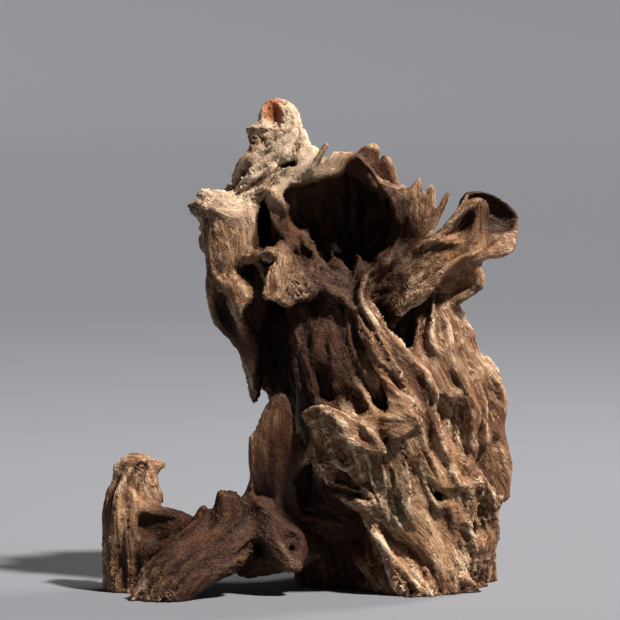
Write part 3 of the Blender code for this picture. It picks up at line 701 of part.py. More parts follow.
def hollows():
    """What time has eaten away. Each is a limb-shaped void: the bowl, the cleft, furrows, slots and holes."""
    bowl_mouth = [
        ([(18, -44, 166, 19, 18), (18, -14, 166, 19, 18), (17, 2, 166, 16, 16), (15, 14, 164, 10, 10)], UP),
        ([(17, -44, 155, 15, 9.4), (17, -14, 155, 14, 9), (15, 2, 155, 11, 8), (14, 10, 156, 6, 5)], UP),
        ([(-8, -40, 166, 9, 13), (-8, -10, 166, 9, 13), (-7, 2, 165, 6, 9)], UP),
        ([(-22, -36, 162, 3.4, 12), (-21, -10, 162, 4.4, 12), (-17, 4, 162, 4, 9)], UP),
        ([(-1, -36, 152, 6, 7), (0, -8, 154, 6, 8)], UP),
        ([(30, -30, 160, 8, 12), (30, -12, 160, 8, 12), (28, 4, 160, 6, 10)], UP),
    ]
    cleft = [
        ([(-15, -24, 124, 7, 9), (-16, -8, 110, 7, 16), (-16, -4, 94, 7, 15), (-15, -6, 76, 6, 14)], FRONT),
    ]
    furrows = [
        ([(21, -30, 39, 1.4, 3), (30, -31, 31, 2.4, 5), (40, -31, 23.6, 3, 7), (47, -30, 16.6, 2.4, 6),
          (53, -28, 10, 1, 3)], FRONT),
        ([(52.6, -28, 106, 1, 4), (58, -29, 98, 2.2, 6), (63, -30, 90.6, 2.4, 6), (66.6, -29, 84, 1.8, 6),
          (67.4, -27, 77, 1, 4)], FRONT),
        ([(58, -28, 85, 2, 4), (61, -27, 77, 3.4, 5), (63.6, -26, 68, 3.4, 5), (65.6, -26, 61, 2, 4)], FRONT),
        ([(37, -31, 107, 1, 2.6), (42, -32, 102.6, 2, 4), (46, -31, 99.6, 1, 2.6)], FRONT),
        ([(51, -23, 122, 1, 3), (54.6, -26, 116.6, 2.6, 6), (57.6, -26, 113, 1.2, 3)], FRONT),
        ([(69.6, -20, 102, 0.8, 3), (73, -22, 94, 1.1, 4), (76.6, -20, 86, 1.4, 5), (77, -18, 76, 1.8, 5),
          (79, -16, 66, 2.6, 5), (79.6, -14, 54, 3, 4)], FRONT),
        ([(29, -16, 126, 2, 5), (35, -20, 120, 4, 7), (40, -22, 114, 3.4, 7), (41, -24, 109.6, 1.2, 4)], FRONT),
        ([(25, -42, 79, 1, 4), (30, -42, 73, 1.5, 6), (34, -39, 66, 1.6, 7), (34.2, -36, 58, 1.5, 6),
          (33.8, -33, 46, 1.1, 5), (33, -30, 41, 0.8, 3)], FRONT),
        ([(14, -44, 75, 0.8, 3), (18, -44, 72.4, 1.2, 4), (21, -43, 70.6, 0.8, 3)], FRONT),
        ([(1, -34, 74, 1.6, 3), (4, -37, 72, 3, 6), (9, -40, 68, 3, 7), (14, -42, 66.6, 1.8, 5)], FRONT),
    ]
    slots = [
        ([(20, -30, 97, 1.2, 4), (24.4, -34, 92, 2.8, 8), (29, -38, 85, 2.4, 7)], FRONT),
        ([(25, -30, 107, 1, 3), (31, -34, 100, 1.6, 6), (37.6, -37, 93, 1.9, 8), (43, -39, 87, 1.7, 6)], FRONT),
        ([(31, -31, 93.4, 0.7, 3), (34.4, -37, 88, 0.9, 5)], FRONT),
    ]
    holes = [
        ([(-6, -24, 50, 3, 6), (2, -27, 47.6, 4, 9), (12, -30, 46.4, 3, 9), (24, -33, 43, 1.4, 5)], FRONT),
        ([(-24.4, -38, 20.6, 2.4, 4), (-23, -20, 21, 2.4, 4)], UP),
        ([(-9, -38, 20.8, 1.6, 1.9), (-8.6, -24, 20.8, 1.6, 1.9)], UP),
        ([(65, -24, 136, 4.6, 3.6), (64, -15, 136, 3.4, 3)], UP),
        ([(57, -22, 157.6, 1, 4), (62, -22, 159.6, 2.6, 6), (66.6, -22, 164, 2, 6), (69, -22, 169, 1, 4)], FRONT),
        ([(54, -34, 45, 2.4, 2.4), (55.6, -20, 44, 2.4, 2.4)], UP),
        ([(56.8, -33, 64, 0.8, 3), (56.8, -34, 58, 1.8, 7), (58.4, -33, 52, 1.2, 5)], FRONT),
        ([(-34, -24, 142.6, 1.6, 4), (-28, -27, 142.6, 2.2, 6), (-22, -27, 140, 2.4, 6)], FRONT),
        ([(53, -26, 151.4, 0.8, 3), (58, -27, 151.6, 1.4, 5), (64, -26, 151.8, 1, 4)], FRONT),
        ([(36, -28, 129, 5, 3), (44, -28, 137, 5.4, 3), (54, -26, 146, 3.4, 2)], (0.25, -1, 0.1)),
        ([(-15.6, -7, 213, 2.4, 5), (-15.4, -8, 209.6, 3.4, 6), (-15, -9, 206.2, 2, 5)], FRONT),
        ([(-26, -10, 199.6, 1, 3), (-20, -11, 199, 1.3, 4), (-13.6, -10, 200.2, 0.7, 3)], FRONT),
        ([(-17, -13, 190, 0.7, 3), (-11, -13, 188.6, 1.3, 4), (-7, -12, 189, 1, 4)], FRONT),
        ([(-6, -11, 194, 0.8, 3), (-5, -11, 190, 1.4, 4), (-3.4, -11, 187, 1, 3)], FRONT),
        ([(2.6, -15, 185.6, 0.6, 4), (4.4, -15, 189.6, 0.8, 5), (6.6, -15, 194, 0.5, 4)], FRONT),
    ]
    finger_gaps = [
        ([(49.4, -12, 186, 1.5, 6), (49.4, -12, 180, 0.9, 5), (49, -12, 176.6, 0.5, 4)], FRONT),
        ([(57, -12, 182, 1.8, 6), (55.4, -12, 176, 1.1, 5), (53.2, -12, 171.4, 0.5, 4)], FRONT),
        ([(62, -12, 176, 3, 10), (57, -12, 166.6, 2.2, 10), (52.4, -12, 160, 1.3, 9), (48.8, -12, 155.6, 0.7, 8)], FRONT),
    ]
    return [
        *bowl_mouth, *cleft, *furrows, *slots, *holes, *finger_gaps,
        *back_furrows(np.random.default_rng(BACK_SEED)),
    ]


def limbs():
    """Every limb of the wood."""
    groups = (
        trunk, trunk_column, trunk_front, trunk_slots, right_flank, splintered_knot, right_foot, front_foot, nose, lip, left_skin,
        left_flange, left_lobes, bowl_sill, bowl, bowl_inside, bowl_rim, fan, pinnacle, perched_bits, right_arm,
        blade, ear, slab, root_arm, knuckle, left_post, back,
    )
    return [limb for group in groups for limb in group()]


def plain_mesh(made):
    """The object's mesh with its modifiers applied."""
    graph = bpy.context.evaluated_depsgraph_get()
    mesh = bpy.data.meshes.new_from_object(made.evaluated_get(graph))
    made.modifiers.clear()
    old = made.data
    made.data = mesh
    bpy.data.meshes.remove(old)


def fuse(made, voxel):
    """One skin round everything in the object."""
    remesh = made.modifiers.new("fuse", "REMESH")
    remesh.mode = "VOXEL"
    remesh.voxel_size = voxel * MM
    plain_mesh(made)


def close_gaps(made, voxel):
    """Swells the skin, fuses it again and shrinks it back, which fills narrow gaps and leaves the crests."""
    for reach in (GAP_REACH, -GAP_REACH):
        places, _ = arrays(made.data)
        places += normals_of(made.data) * (reach * MM)
        made.data.vertices.foreach_set("co", places.ravel())
        made.data.update()
        fuse(made, voxel)


def carve(made, cutters):
    """Takes the hollows out of the wood."""
    cut = made.modifiers.new("carve", "BOOLEAN")
    cut.operation = "DIFFERENCE"
    cut.solver = "EXACT"
    cut.object = cutters
    plain_mesh(made)


def arrays(mesh):
    """Vertex places and edge ends of a mesh as arrays."""
    places = np.empty(len(mesh.vertices) * 3)
    mesh.vertices.foreach_get("co", places)
    ends = np.empty(len(mesh.edges) * 2, np.int64)
    mesh.edges.foreach_get("vertices", ends)
    return places.reshape(-1, 3), ends.reshape(-1, 2)


def normals_of(mesh):
    normals = np.empty(len(mesh.vertices) * 3)
    mesh.vertices.foreach_get("normal", normals)
    return normals.reshape(-1, 3)


def mean_of_neighbours(values, ends):
    """Mean of each vertex's neighbours, for numbers or vectors on the vertices."""
    both = np.concatenate([ends, ends[:, ::-1]])
    count = np.bincount(both[:, 0], minlength=len(values))
    total = [np.bincount(both[:, 0], values[both[:, 1], k], len(values)) for k in range(values.shape[1])]
    return np.stack(total, 1) / np.maximum(count, 1)[:, None]


def fill_crotches(made, rounds):
    """Lifts hollow creases to the level of what is round them, as wood closes over a fork. Crests stay sharp."""
    mesh = made.data
    for _ in range(rounds):
        places, ends = arrays(mesh)
        normals = normals_of(mesh)
        pull = mean_of_neighbours(places, ends) - places
        rise = (pull * normals).sum(1, keepdims=True)
        slide = pull - normals * rise
        places += normals * np.where(rise > 0, 0.6, 0.03) * rise + slide * 0.2
        mesh.vertices.foreach_set("co", places.ravel())
        mesh.update()


def keep_main_body(made):
    """Drops crumbs and sealed bubbles, so that one closed body is left."""
    shape = bmesh.new()
    shape.from_mesh(made.data)
    unseen = set(shape.verts)
    bodies = []
    while unseen:
        body = {unseen.pop()}
        edge_of_body = list(body)
        while edge_of_body:
            near = {link.other_vert(vertex) for vertex in edge_of_body for link in vertex.link_edges}
            edge_of_body = list(near - body)
            body |= near
        unseen -= body
        bodies.append(body)
    bodies.sort(key=len)
    for body in bodies[:-1]:
        bmesh.ops.delete(shape, geom=list(body), context="VERTS")
    shape.to_mesh(made.data)
    shape.free()


def thin_out(made, faces_wanted):
    """Leaves about as many triangles as wanted, most of them where the form turns sharply."""
    made.data.calc_loop_triangles()
    thin = made.modifiers.new("thin out", "DECIMATE")
    thin.ratio = faces_wanted / len(made.data.loop_triangles)
    plain_mesh(made)


def saw_flat(made, tools):
    """Saws the feet off level with the surface."""
    bpy.ops.mesh.primitive_cube_add(size=SAW_BLOCK * MM, location=(0, 0, -SAW_BLOCK / 2 * MM))
    block = bpy.context.object
    block.name = "floor block"
    for collection in list(block.users_collection):
        collection.objects.unlink(block)
    tools.objects.link(block)
    hide(block)
    carve(made, block)


def fit_to_size(made):
    """Brings the wood to its exact size and puts the middle of its sole at the origin."""
    places, _ = arrays(made.data)
    low, high = places.min(axis=0), places.max(axis=0)
    foot = np.array([(low[0] + high[0]) / 2, (low[1] + high[1]) / 2, low[2]])
    places = (places - foot) * (np.array([WIDTH, DEPTH, HEIGHT]) / (high - low))
    made.data.vertices.foreach_set("co", places.ravel())
    made.data.update()


def wood_material():
    """Weathered brown root wood, dry and without a finish."""
    material = bpy.data.materials.new("weathered wood")
    material.use_nodes = True
    shader = material.node_tree.nodes["Principled BSDF"]
    shader.inputs["Base Color"].default_value = WOOD_COLOUR
    shader.inputs["Roughness"].default_value = WOOD_ROUGHNESS
    shader.inputs["Metallic"].default_value = 0.0
    return material


def hide(cutter):
    cutter.hide_render = True
    cutter.display_type = "WIRE"


def build_wood(name, voxel, rounds, home, tools):
    """Fuses the limbs, closes the gaps between them, takes out the hollows and rounds off the forks."""
    made = limbs_object(name, limbs(), home)
    fuse(made, voxel)
    close_gaps(made, voxel)
    cutters = limbs_object("hollows", hollows(), tools)
    fuse(cutters, voxel)
    hide(cutters)
    carve(made, cutters)
    fuse(made, voxel)
    fill_crotches(made, rounds)
    return made


def main():
    clear_scene()
    home = bpy.data.collections.new("dead wood")
    tools = bpy.data.collections.new("cutters")
    for collection in (home, tools):
        bpy.context.scene.collection.children.link(collection)
    wood = build_wood(NAME, FUSE_VOXEL, CROTCH_ROUNDS, home, tools)
    keep_main_body(wood)
    thin_out(wood, FACES_WANTED)
    saw_flat(wood, tools)
    keep_main_body(wood)
    fit_to_size(wood)
    wood.data.materials.append(wood_material())
    wood.data.shade_smooth()


if __name__ == "__main__":
    main()
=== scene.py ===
# %% [markdown]
# # A piece of weathered root wood
# The real object is one piece of dead wood: roots and stump, worn by water and rot until only the hard
# strands are left. There is nothing to assemble, so the lesson is about a single rich surface. It is
# drawn as nearly three hundred limbs, fused into one skin, carved, and then given its grain.

# %% Load the frame
import math

import bmesh
import bpy
import numpy as np
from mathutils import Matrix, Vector
from mathutils.bvhtree import BVHTree


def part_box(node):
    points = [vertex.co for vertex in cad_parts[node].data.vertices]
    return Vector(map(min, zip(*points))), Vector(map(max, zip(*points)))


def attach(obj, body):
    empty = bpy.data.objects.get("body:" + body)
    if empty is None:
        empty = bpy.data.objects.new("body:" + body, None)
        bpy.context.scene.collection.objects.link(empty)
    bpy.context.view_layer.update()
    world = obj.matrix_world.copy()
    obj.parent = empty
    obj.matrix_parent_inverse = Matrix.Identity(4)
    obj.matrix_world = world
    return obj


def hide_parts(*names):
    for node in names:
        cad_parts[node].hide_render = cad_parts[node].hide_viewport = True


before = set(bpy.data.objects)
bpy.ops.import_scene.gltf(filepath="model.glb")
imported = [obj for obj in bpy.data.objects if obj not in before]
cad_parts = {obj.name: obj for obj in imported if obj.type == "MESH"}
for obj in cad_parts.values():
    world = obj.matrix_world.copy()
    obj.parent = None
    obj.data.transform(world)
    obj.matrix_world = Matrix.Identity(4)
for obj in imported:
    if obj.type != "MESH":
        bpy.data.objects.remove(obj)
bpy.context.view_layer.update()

WOOD = "driftwood"
MM = 0.001
FRONT = (0, -1, 0)
SIDE = (-1, 0, 0)
UP = (0, 0, 1)

wood_low, wood_high = (np.array(corner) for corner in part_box(WOOD))
print("the wood is", np.round((wood_high - wood_low) / MM, 1), "mm")

# %% [markdown]
# ## The view
# The photograph looks slightly down on the piece from straight in front, from far enough away that it
# shows little perspective. A long lens far off gives that, and its field is worked out from the span it
# must show.

# %% Camera
SENSOR = 36.0               # mm
VIEW_DISTANCE = 2.0         # m
VIEW_SPAN = 0.272           # m of the scene across the square frame
VIEW_DOWN = math.radians(5)
VIEW_TARGET = Vector((0.0002, -0.010, 0.1229))

camera = bpy.data.objects.new("camera", bpy.data.cameras.new("camera"))
bpy.context.scene.collection.objects.link(camera)
camera.data.sensor_width = SENSOR
camera.data.lens = SENSOR * VIEW_DISTANCE / VIEW_SPAN
camera.location = VIEW_TARGET + Vector((0, -math.cos(VIEW_DOWN), math.sin(VIEW_DOWN))) * VIEW_DISTANCE
camera.rotation_euler = (math.radians(90) - VIEW_DOWN, 0, 0)
bpy.context.scene.camera = camera
print("lens", round(camera.data.lens), "mm")

# %% [markdown]
# ## How a limb is drawn
# Each strand, plank or lobe of the real wood is one limb: a row of stations from end to end. A station
# is x, y and z, half a width and half a thickness, all in millimetres. A curve through the stations and
# oval rings round it give a closed shell. Sculpting by hand would be the other way, but rows of numbers
# can be changed.

# %% A smooth row of rings
RING_GAP = 3.0              # mm between two rings of a limb
LEAST_SIZE = 0.3            # mm, half of a limb's least width and thickness
CAP_TURNS = (0.5, 0.85, 0.98)   # how far out the rings of a rounded end stand, as parts of its reach


def smooth_rows(rows, gap):
    """Rows of a Catmull-Rom curve through the drawn rows, about gap apart. The sizes follow it too."""
    rows = np.array(rows, float)
    ends = [2 * rows[0] - rows[1], *rows, 2 * rows[-1] - rows[-2]]
    found = []
    for before, start, end, after in zip(ends, ends[1:], ends[2:], ends[3:]):
        steps = max(1, round(np.linalg.norm((end - start)[:3]) / gap))
        for t in np.arange(steps) / steps:
            bend = (2 * before - 5 * start + 4 * end - after) * t**2
            twist = (3 * start - before - 3 * end + after) * t**3
            found.append(0.5 * (2 * start + (end - before) * t + bend + twist))
    found.append(rows[-1])
    found = np.array(found)
    found[:, 3:] = np.maximum(found[:, 3:], LEAST_SIZE)
    return found


def with_round_ends(rows):
    """Adds rings past both ends that close in on a point, so that a limb ends rounded."""
    def cap(end, inner):
        along = end[:3] - inner[:3]
        along /= max(np.linalg.norm(along), 1e-6)
        reach = min(end[3], end[4])
        made = []
        for turn in CAP_TURNS:
            ring = end.copy()
            ring[:3] += along * reach * turn
            ring[3:] *= math.sqrt(1 - turn**2)
            made.append(ring)
        return made

    first = cap(rows[0], rows[1])[::-1]
    return np.array([*first, *rows, *cap(rows[-1], rows[-2])])


bar = with_round_ends(smooth_rows([(0, 0, 0, 4, 4), (0, 0, 30, 4, 4)], RING_GAP))
print("a bar 30 mm long has", len(bar), "rings")

# %% [markdown]
# ## From rings to a shell
# A plank is broad and thin, so each limb also says which way its broad side looks. Most look to the
# front, and only the others name it. The rings are flattened a little towards their edges, like a lens.

# %% Limbs and shells
SECTION_SIDES = 12          # corners of a limb's cross-section
EDGE_TAPER = 1.25           # above 1, a flat limb thins towards its edges


def loft(shape, rows, face):
    """Adds one closed limb to a bmesh: oval rings along a smooth path, whose broad side looks along face."""
    rows = with_round_ends(smooth_rows(rows, RING_GAP))
    rings = []
    for place, tangent, (half_width, half_thickness) in zip(
        rows[:, :3], np.gradient(rows[:, :3], axis=0), rows[:, 3:]
    ):
        across = Vector(tangent).cross(Vector(face)).normalized()
        out = across.cross(Vector(tangent)).normalized()
        ring = []
        for corner in range(SECTION_SIDES):
            turn = math.tau * corner / SECTION_SIDES
            lift = math.copysign(abs(math.sin(turn)) ** EDGE_TAPER, math.sin(turn))
            offset = across * (half_width * math.cos(turn)) + out * (half_thickness * lift)
            ring.append(shape.verts.new((Vector(place) + offset) * MM))
        rings.append(ring)
    for low, high in zip(rings, rings[1:]):
        for corner in range(SECTION_SIDES):
            after = (corner + 1) % SECTION_SIDES
            shape.faces.new((low[corner], low[after], high[after], high[corner]))
    shape.faces.new(rings[0][::-1])
    shape.faces.new(rings[-1])


def faced(limb):
    """A limb's stations, and the way that its broad side looks: to the front, if it isn't said."""
    return limb if isinstance(limb, tuple) else (limb, FRONT)


def shells(name, drawn):
    """One object that holds every limb as a closed shell of its own."""
    shape = bmesh.new()
    for rows, face in map(faced, drawn):
        loft(shape, rows, face)
    bmesh.ops.recalc_face_normals(shape, faces=shape.faces)
    mesh = bpy.data.meshes.new(name)
    shape.to_mesh(mesh)
    shape.free()
    made = bpy.data.objects.new(name, mesh)
    bpy.context.scene.collection.objects.link(made)
    return made


limbs = []
roughness_of_limbs = []


def add_limbs(rough, drawn):
    """Keeps limbs for the skin. rough is how strongly the grain stands out on them."""
    limbs.extend(drawn)
    roughness_of_limbs.extend([rough] * len(drawn))
    print(len(drawn), "limbs,", len(limbs), "in all")


print(SECTION_SIDES, "corners round each limb")

# %% [markdown]
# ## The trunk
# The heartwood is thick and plain. Over it, the front carries planks that lean down to the right, each
# with a sharp crest along its edges, because water has cut out the soft wood between them. Wide flat
# limbs give the planks and narrow ones the crests; a carved block would need every hollow drawn as
# well.

# %% Heartwood
# The heartwood, the smooth column under the bowl and the wall behind the dark cleft.
add_limbs(0.6, [
    [(38, 10, -12, 30, 26), (38, 10, 25, 29, 26), (43, 10, 55, 32, 26), (40, 12, 85, 32, 25),
     (30, 14, 112, 31, 25), (18, 18, 138, 31, 21), (10, 22, 160, 31, 16), (4, 20, 176, 20, 12)],
    [(6, -2, 74, 13, 14), (6, -5, 95, 13, 13), (6, -5, 110, 14, 13), (4, -4, 128, 16, 14)],
    [(0, 28, 60, 16, 12), (-5, 30, 90, 17, 10), (-14, 28, 112, 20, 10), (-20, 22, 135, 22, 12),
     (-20, 14, 160, 18, 12)],
    [(12, 12, -12, 20, 16), (10, 11, 18, 18, 15), (10, 5, 38, 16, 15), (10, 0, 60, 15, 17)],
])

# %% Folds of the column
# Folds that run down the shaded column under the bowl.
add_limbs(0.8, [
    [(-6, -14, 128, 2, 4), (-7, -17, 116, 2.4, 4), (-6, -18, 104, 2.4, 4), (-4, -17, 90, 2.2, 4)],
    [(-1, -16, 126, 1.8, 4), (0, -19, 114, 2.2, 4), (-1, -20, 102, 2.4, 4), (1, -19, 88, 2, 4)],
    [(6, -17, 128, 2.4, 4), (3.6, -20, 117, 1.6, 3.6), (2.6, -21, 110, 1.4, 3.4), (4, -21, 104, 1.3, 3),
     (7.6, -20, 100, 1.2, 3)],
    [(9, -17, 127, 2, 4), (8.4, -20, 116, 2, 4), (9, -21, 104, 2.4, 4), (10, -20, 90, 2, 4)],
    [(15, -17, 124, 2, 4), (14, -20, 112, 2, 4), (15, -21, 100, 2.2, 4), (17, -21, 88, 2, 4)],
    [(-10.4, -8, 122, 1.6, 3), (-9, -13, 116, 1.8, 3), (-8, -13, 109, 1.4, 3)],
    [(18, -16, 128, 4, 6), (20, -18, 112, 5, 6), (24, -19, 98, 6, 6), (28, -20, 84, 6, 6)],
])

# %% Planks and crests
# The lit right half of the trunk, stacked down to the right.
add_limbs(1.0, [
    ([(21, -19, 130, 2.6, 4), (25, -21, 120, 5.4, 4.4), (31, -23, 111, 7.4, 4.6),
      (38, -24, 101, 7.6, 4.6), (44, -24, 92, 6.4, 4.6), (49, -23, 82, 4.8, 4.4), (51, -23, 70, 4, 4),
      (52, -23, 56, 3.4, 4)], (0.25, -1, 0.2)),
    [(20.4, -22, 124, 1.2, 3), (20.6, -24, 116, 1.2, 3), (24, -26, 112, 1.3, 3), (28, -28, 105, 1.4, 3),
     (33, -29, 98.5, 1.4, 3), (39, -30, 92, 1.4, 3), (45, -29, 87, 1.6, 3), (48, -27, 82, 1.4, 3)],
    [(24, -24, 124, 1.2, 2.4), (28, -26, 116, 1.4, 3), (33, -28, 107, 1.4, 3), (38, -29, 99, 1.4, 3),
     (43, -29, 93, 1.2, 2.4)],
    [(27, -20, 125, 1.2, 2.4), (33, -22, 117, 1.3, 3), (38, -24, 110, 1.3, 3), (43, -26, 104, 1.6, 3),
     (49, -27, 96, 1.8, 3), (51, -27, 88, 1.6, 3)],
    ([(54, -8, 127, 5, 5), (54, -12, 117, 8, 5), (55, -17, 108, 9, 5), (56, -20, 98, 7, 5),
      (58, -21, 88, 6, 4)], (0.2, -1, 0.1)),
    [(47.5, -13, 121, 1.6, 3), (45.5, -18, 112, 1.8, 3), (48, -23, 104, 1.8, 3), (51, -26, 96, 1.8, 3),
     (54, -27, 89, 1.4, 3)],
    [(52.6, -12, 129, 1.2, 2.4), (53, -16, 121, 1.4, 3), (51, -20, 114, 1.4, 3), (54, -23, 107, 1.4, 3)],
    [(55, -11, 128, 1.2, 2.4), (58, -15, 120, 1.4, 3), (60, -18, 113, 1.8, 3), (57, -22, 107, 1.4, 3)],
    [(57, -9, 127, 1.2, 2.4), (60, -12, 122, 1.3, 2.6), (63, -12, 119, 1.3, 2.6),
     (66, -9, 117.6, 1.3, 3)],
    [(57, -21, 105, 1.4, 3), (62, -18, 108.4, 1.6, 3), (66, -12, 111.6, 1.6, 3.4),
     (68.6, -8, 113, 1.6, 3.4)],
    ([(64, -12, 107, 5, 4), (69, -14, 97, 6, 4), (72, -15, 87, 5, 4), (73, -15, 77, 5, 4),
      (73, -14, 67, 5, 4)], (0.2, -1, 0)),
    [(60, -19, 107, 1.6, 4), (64, -22, 98, 1.8, 4), (68.6, -23, 88, 1.8, 4), (70, -22, 79, 1.8, 4),
     (69.4, -21, 70, 1.6, 4), (71, -19, 61, 1.4, 3)],
    [(67, -14, 105, 1.2, 2.4), (72, -17, 94, 1.4, 2.6), (74.4, -18, 84, 1.4, 2.6),
     (74.6, -18, 74, 1.4, 2.6)],
    [(60, -4, 124, 2, 5), (66, -6, 116, 2, 5), (69, -8, 111, 2, 5), (70, -8, 105, 2.4, 5),
     (75, -8, 99, 2.6, 5), (80, -7, 93, 2.6, 5), (82.4, -6, 87, 2.4, 5), (82.6, -5, 79, 2, 5),
     (82, -5, 71, 1.8, 4)],
    [(53.6, -22, 88.5, 1.4, 3), (59, -24, 89, 1.5, 3), (64.4, -23, 87, 1.5, 3)],
    [(43, -25, 86, 2.4, 4), (46, -26, 81, 2.6, 4), (48, -26, 75, 2.4, 4)],
    [(50, -25, 86, 1.8, 4), (52.4, -27, 78, 1.8, 4), (55, -28, 70, 1.8, 4), (59, -27, 64, 1.8, 4),
     (64, -26, 59.6, 1.6, 4), (69, -24, 56, 1.4, 3)],
    [(45.4, -26, 80, 1.4, 3), (46.6, -28, 70, 1.6, 3.4), (47.6, -28, 61, 1.6, 3.4), (49, -27, 52, 1.6, 3),
     (51, -26, 44, 1.4, 3)],
    [(49, -26, 78, 1.3, 3), (49.6, -28, 68, 1.5, 3), (51.4, -28, 61, 1.4, 3), (53.4, -27, 56, 1.2, 2.6)],
    [(36, -23, 68, 3, 5), (38, -25, 58, 5, 6), (41, -25, 47, 6, 6), (46, -24, 36, 6, 6),
     (52, -22, 22, 5, 6), (57, -20, 6, 6, 6), (60, -18, -12, 6, 6)],
    [(36.4, -27, 66, 1.4, 3), (37, -30, 57, 1.5, 3), (38, -31, 48, 1.6, 3), (42, -31, 39, 1.6, 3),
     (47, -29, 30, 1.6, 3), (51, -27, 21, 1.6, 3), (55, -25, 11, 1.6, 3)],
    [(40.6, -27, 60, 1.4, 3), (42, -30, 51, 1.5, 3), (46, -30, 42, 1.6, 3), (50, -28, 34, 1.6, 3),
     (53, -26, 25, 1.4, 3), (56, -24, 14, 1.4, 3)],
    [(45, -24, 76, 4, 5), (47, -25, 60, 5, 5), (50, -24, 46, 4, 5), (54, -22, 32, 4, 5),
     (58, -19, 18, 5, 5), (62, -16, 2, 5, 5), (64, -14, -12, 5, 5)],
])

# %% Strands over the slots
# Thin strands left standing over the slots above the lip. They run down into the lip's rim.
add_limbs(0.5, [
    [(23, -24, 106, 0.9, 2), (26.6, -27, 101, 1, 2), (30.6, -30, 96.5, 1.1, 2.4),
     (36, -34, 90.6, 1.2, 2.6), (40, -36, 86, 1.2, 2.6), (43, -36, 83, 1.2, 2.4)],
    [(27.4, -26, 99, 0.9, 2), (30.6, -29, 94.6, 1, 2), (32.4, -32, 90, 1.1, 2.4),
     (34.4, -35, 85, 1.3, 2.6), (36, -36, 82.6, 1.2, 2.4)],
    [(31, -28, 96, 0.8, 2), (34.6, -31, 91, 0.9, 2), (37, -34, 87, 1, 2.4), (39, -36, 84, 1, 2.4)],
    [(19, -22, 94, 0.8, 2), (22, -26, 90, 1, 2.2), (24.4, -30, 86, 1.2, 2.6), (27.6, -34, 82, 1.4, 2.8)],
])

# %% [markdown]
# ## The right side and its knot
# A thin sheet wraps the right side and ends in two points in the air. Under it sits a rough knot, and
# below that a blade and a toe. They are lobes of different sizes pushed into each other, because a knot
# has no plan that one outline could follow.

# %% Right flank
# The broad sheet, its two points over the floor, and the wood behind it.
add_limbs(1.0, [
    ([(77, -5, 80, 6, 5), (79, -5, 70, 6, 4), (80, -5, 62, 6, 3), (82, -5, 53, 5.4, 2.6),
      (82.4, -6, 44, 5, 2.2), (81, -7, 38, 2.4, 1.6), (80.4, -7, 35.4, 1, 1)], (-0.5, -0.85, 0)),
    [(82.4, -4, 72, 1.8, 3), (84, -5, 64, 2, 3), (86, -5, 56, 2, 2.6), (85.8, -6, 47, 1.5, 2.4),
     (86.2, -7, 40.6, 1.2, 1.6)],
    [(78.6, -9, 80, 1.4, 3), (79.4, -11, 74.6, 1.6, 3), (81.6, -9, 69, 1.4, 3)],
    [(66, -22, 57, 1.6, 3), (71, -20, 53, 1.8, 3), (75.6, -16, 47, 1.8, 3), (78.6, -12, 41, 1.6, 2.6),
     (80, -9, 36, 1.2, 2)],
    [(73, -9, 60, 6, 5), (75, -10, 48, 5, 4), (76, -10, 39, 4, 3), (78.6, -9, 33.6, 2.4, 2),
     (80, -9, 31.4, 1, 1)],
    [(63, 6, 104, 7, 9), (69, 8, 94, 8, 10), (74, 10, 80, 8, 10), (75, 10, 60, 8, 10), (75, 8, 46, 5, 7)],
    ([(55, -6, 124, 6, 7), (60, -8, 112, 8.6, 9), (65, -9, 100, 9, 9), (70, -8, 88, 10, 9),
      (73, -7, 74, 9, 8)], (0.2, -1, 0)),
    [(58, -12, 94, 9, 8), (60, -13, 80, 10, 8), (62, -13, 66, 9, 8), (62, -12, 52, 8, 8)],
    [(73, -1, 98, 4.4, 7), (78, -1, 90, 4.6, 7), (79, -1, 80, 4.4, 7)],
])

# %% Splintered knot
# Pale lumps round two holes, and lobes that hang under them.
add_limbs(1.2, [
    [(60, -15, 62, 8, 8), (62, -19, 52, 9, 9), (64, -18, 42, 7, 8)],
    [(54, -25, 65, 1.4, 3), (53.4, -28, 58, 1.6, 3), (54.6, -29, 51, 1.6, 3), (58.4, -28, 47.4, 1.6, 3)],
    [(59.4, -26, 62, 1.3, 3), (60.6, -28, 56.6, 1.6, 3), (61.4, -29, 52, 2, 3)],
    [(62, -26, 54, 2.4, 3), (66, -26, 55.6, 2, 3), (69, -24, 52, 2, 3)],
    [(60, -27, 48, 2, 3), (65, -27, 49.6, 2.2, 3), (70, -24, 47.6, 2.4, 3), (73.4, -20, 48.6, 1.8, 2.6)],
    [(51, -25, 46, 1.6, 3), (53, -27, 41.6, 1.6, 3), (57.6, -27, 39.4, 1.6, 3)],
    [(62, -23, 44, 4.5, 4), (62.6, -23, 37, 4.5, 4), (65, -21, 32.4, 3.4, 3)],
    [(60.4, -25, 44, 1.2, 2.4), (60.8, -26, 38, 1.4, 2.6), (62.6, -25, 32.6, 1.3, 2.4),
     (68.6, -21, 31, 1.3, 2.4)],
    [(69, -19, 46, 4, 4), (70, -19, 39, 3.5, 4), (69.4, -18, 34, 2, 2.5)],
])

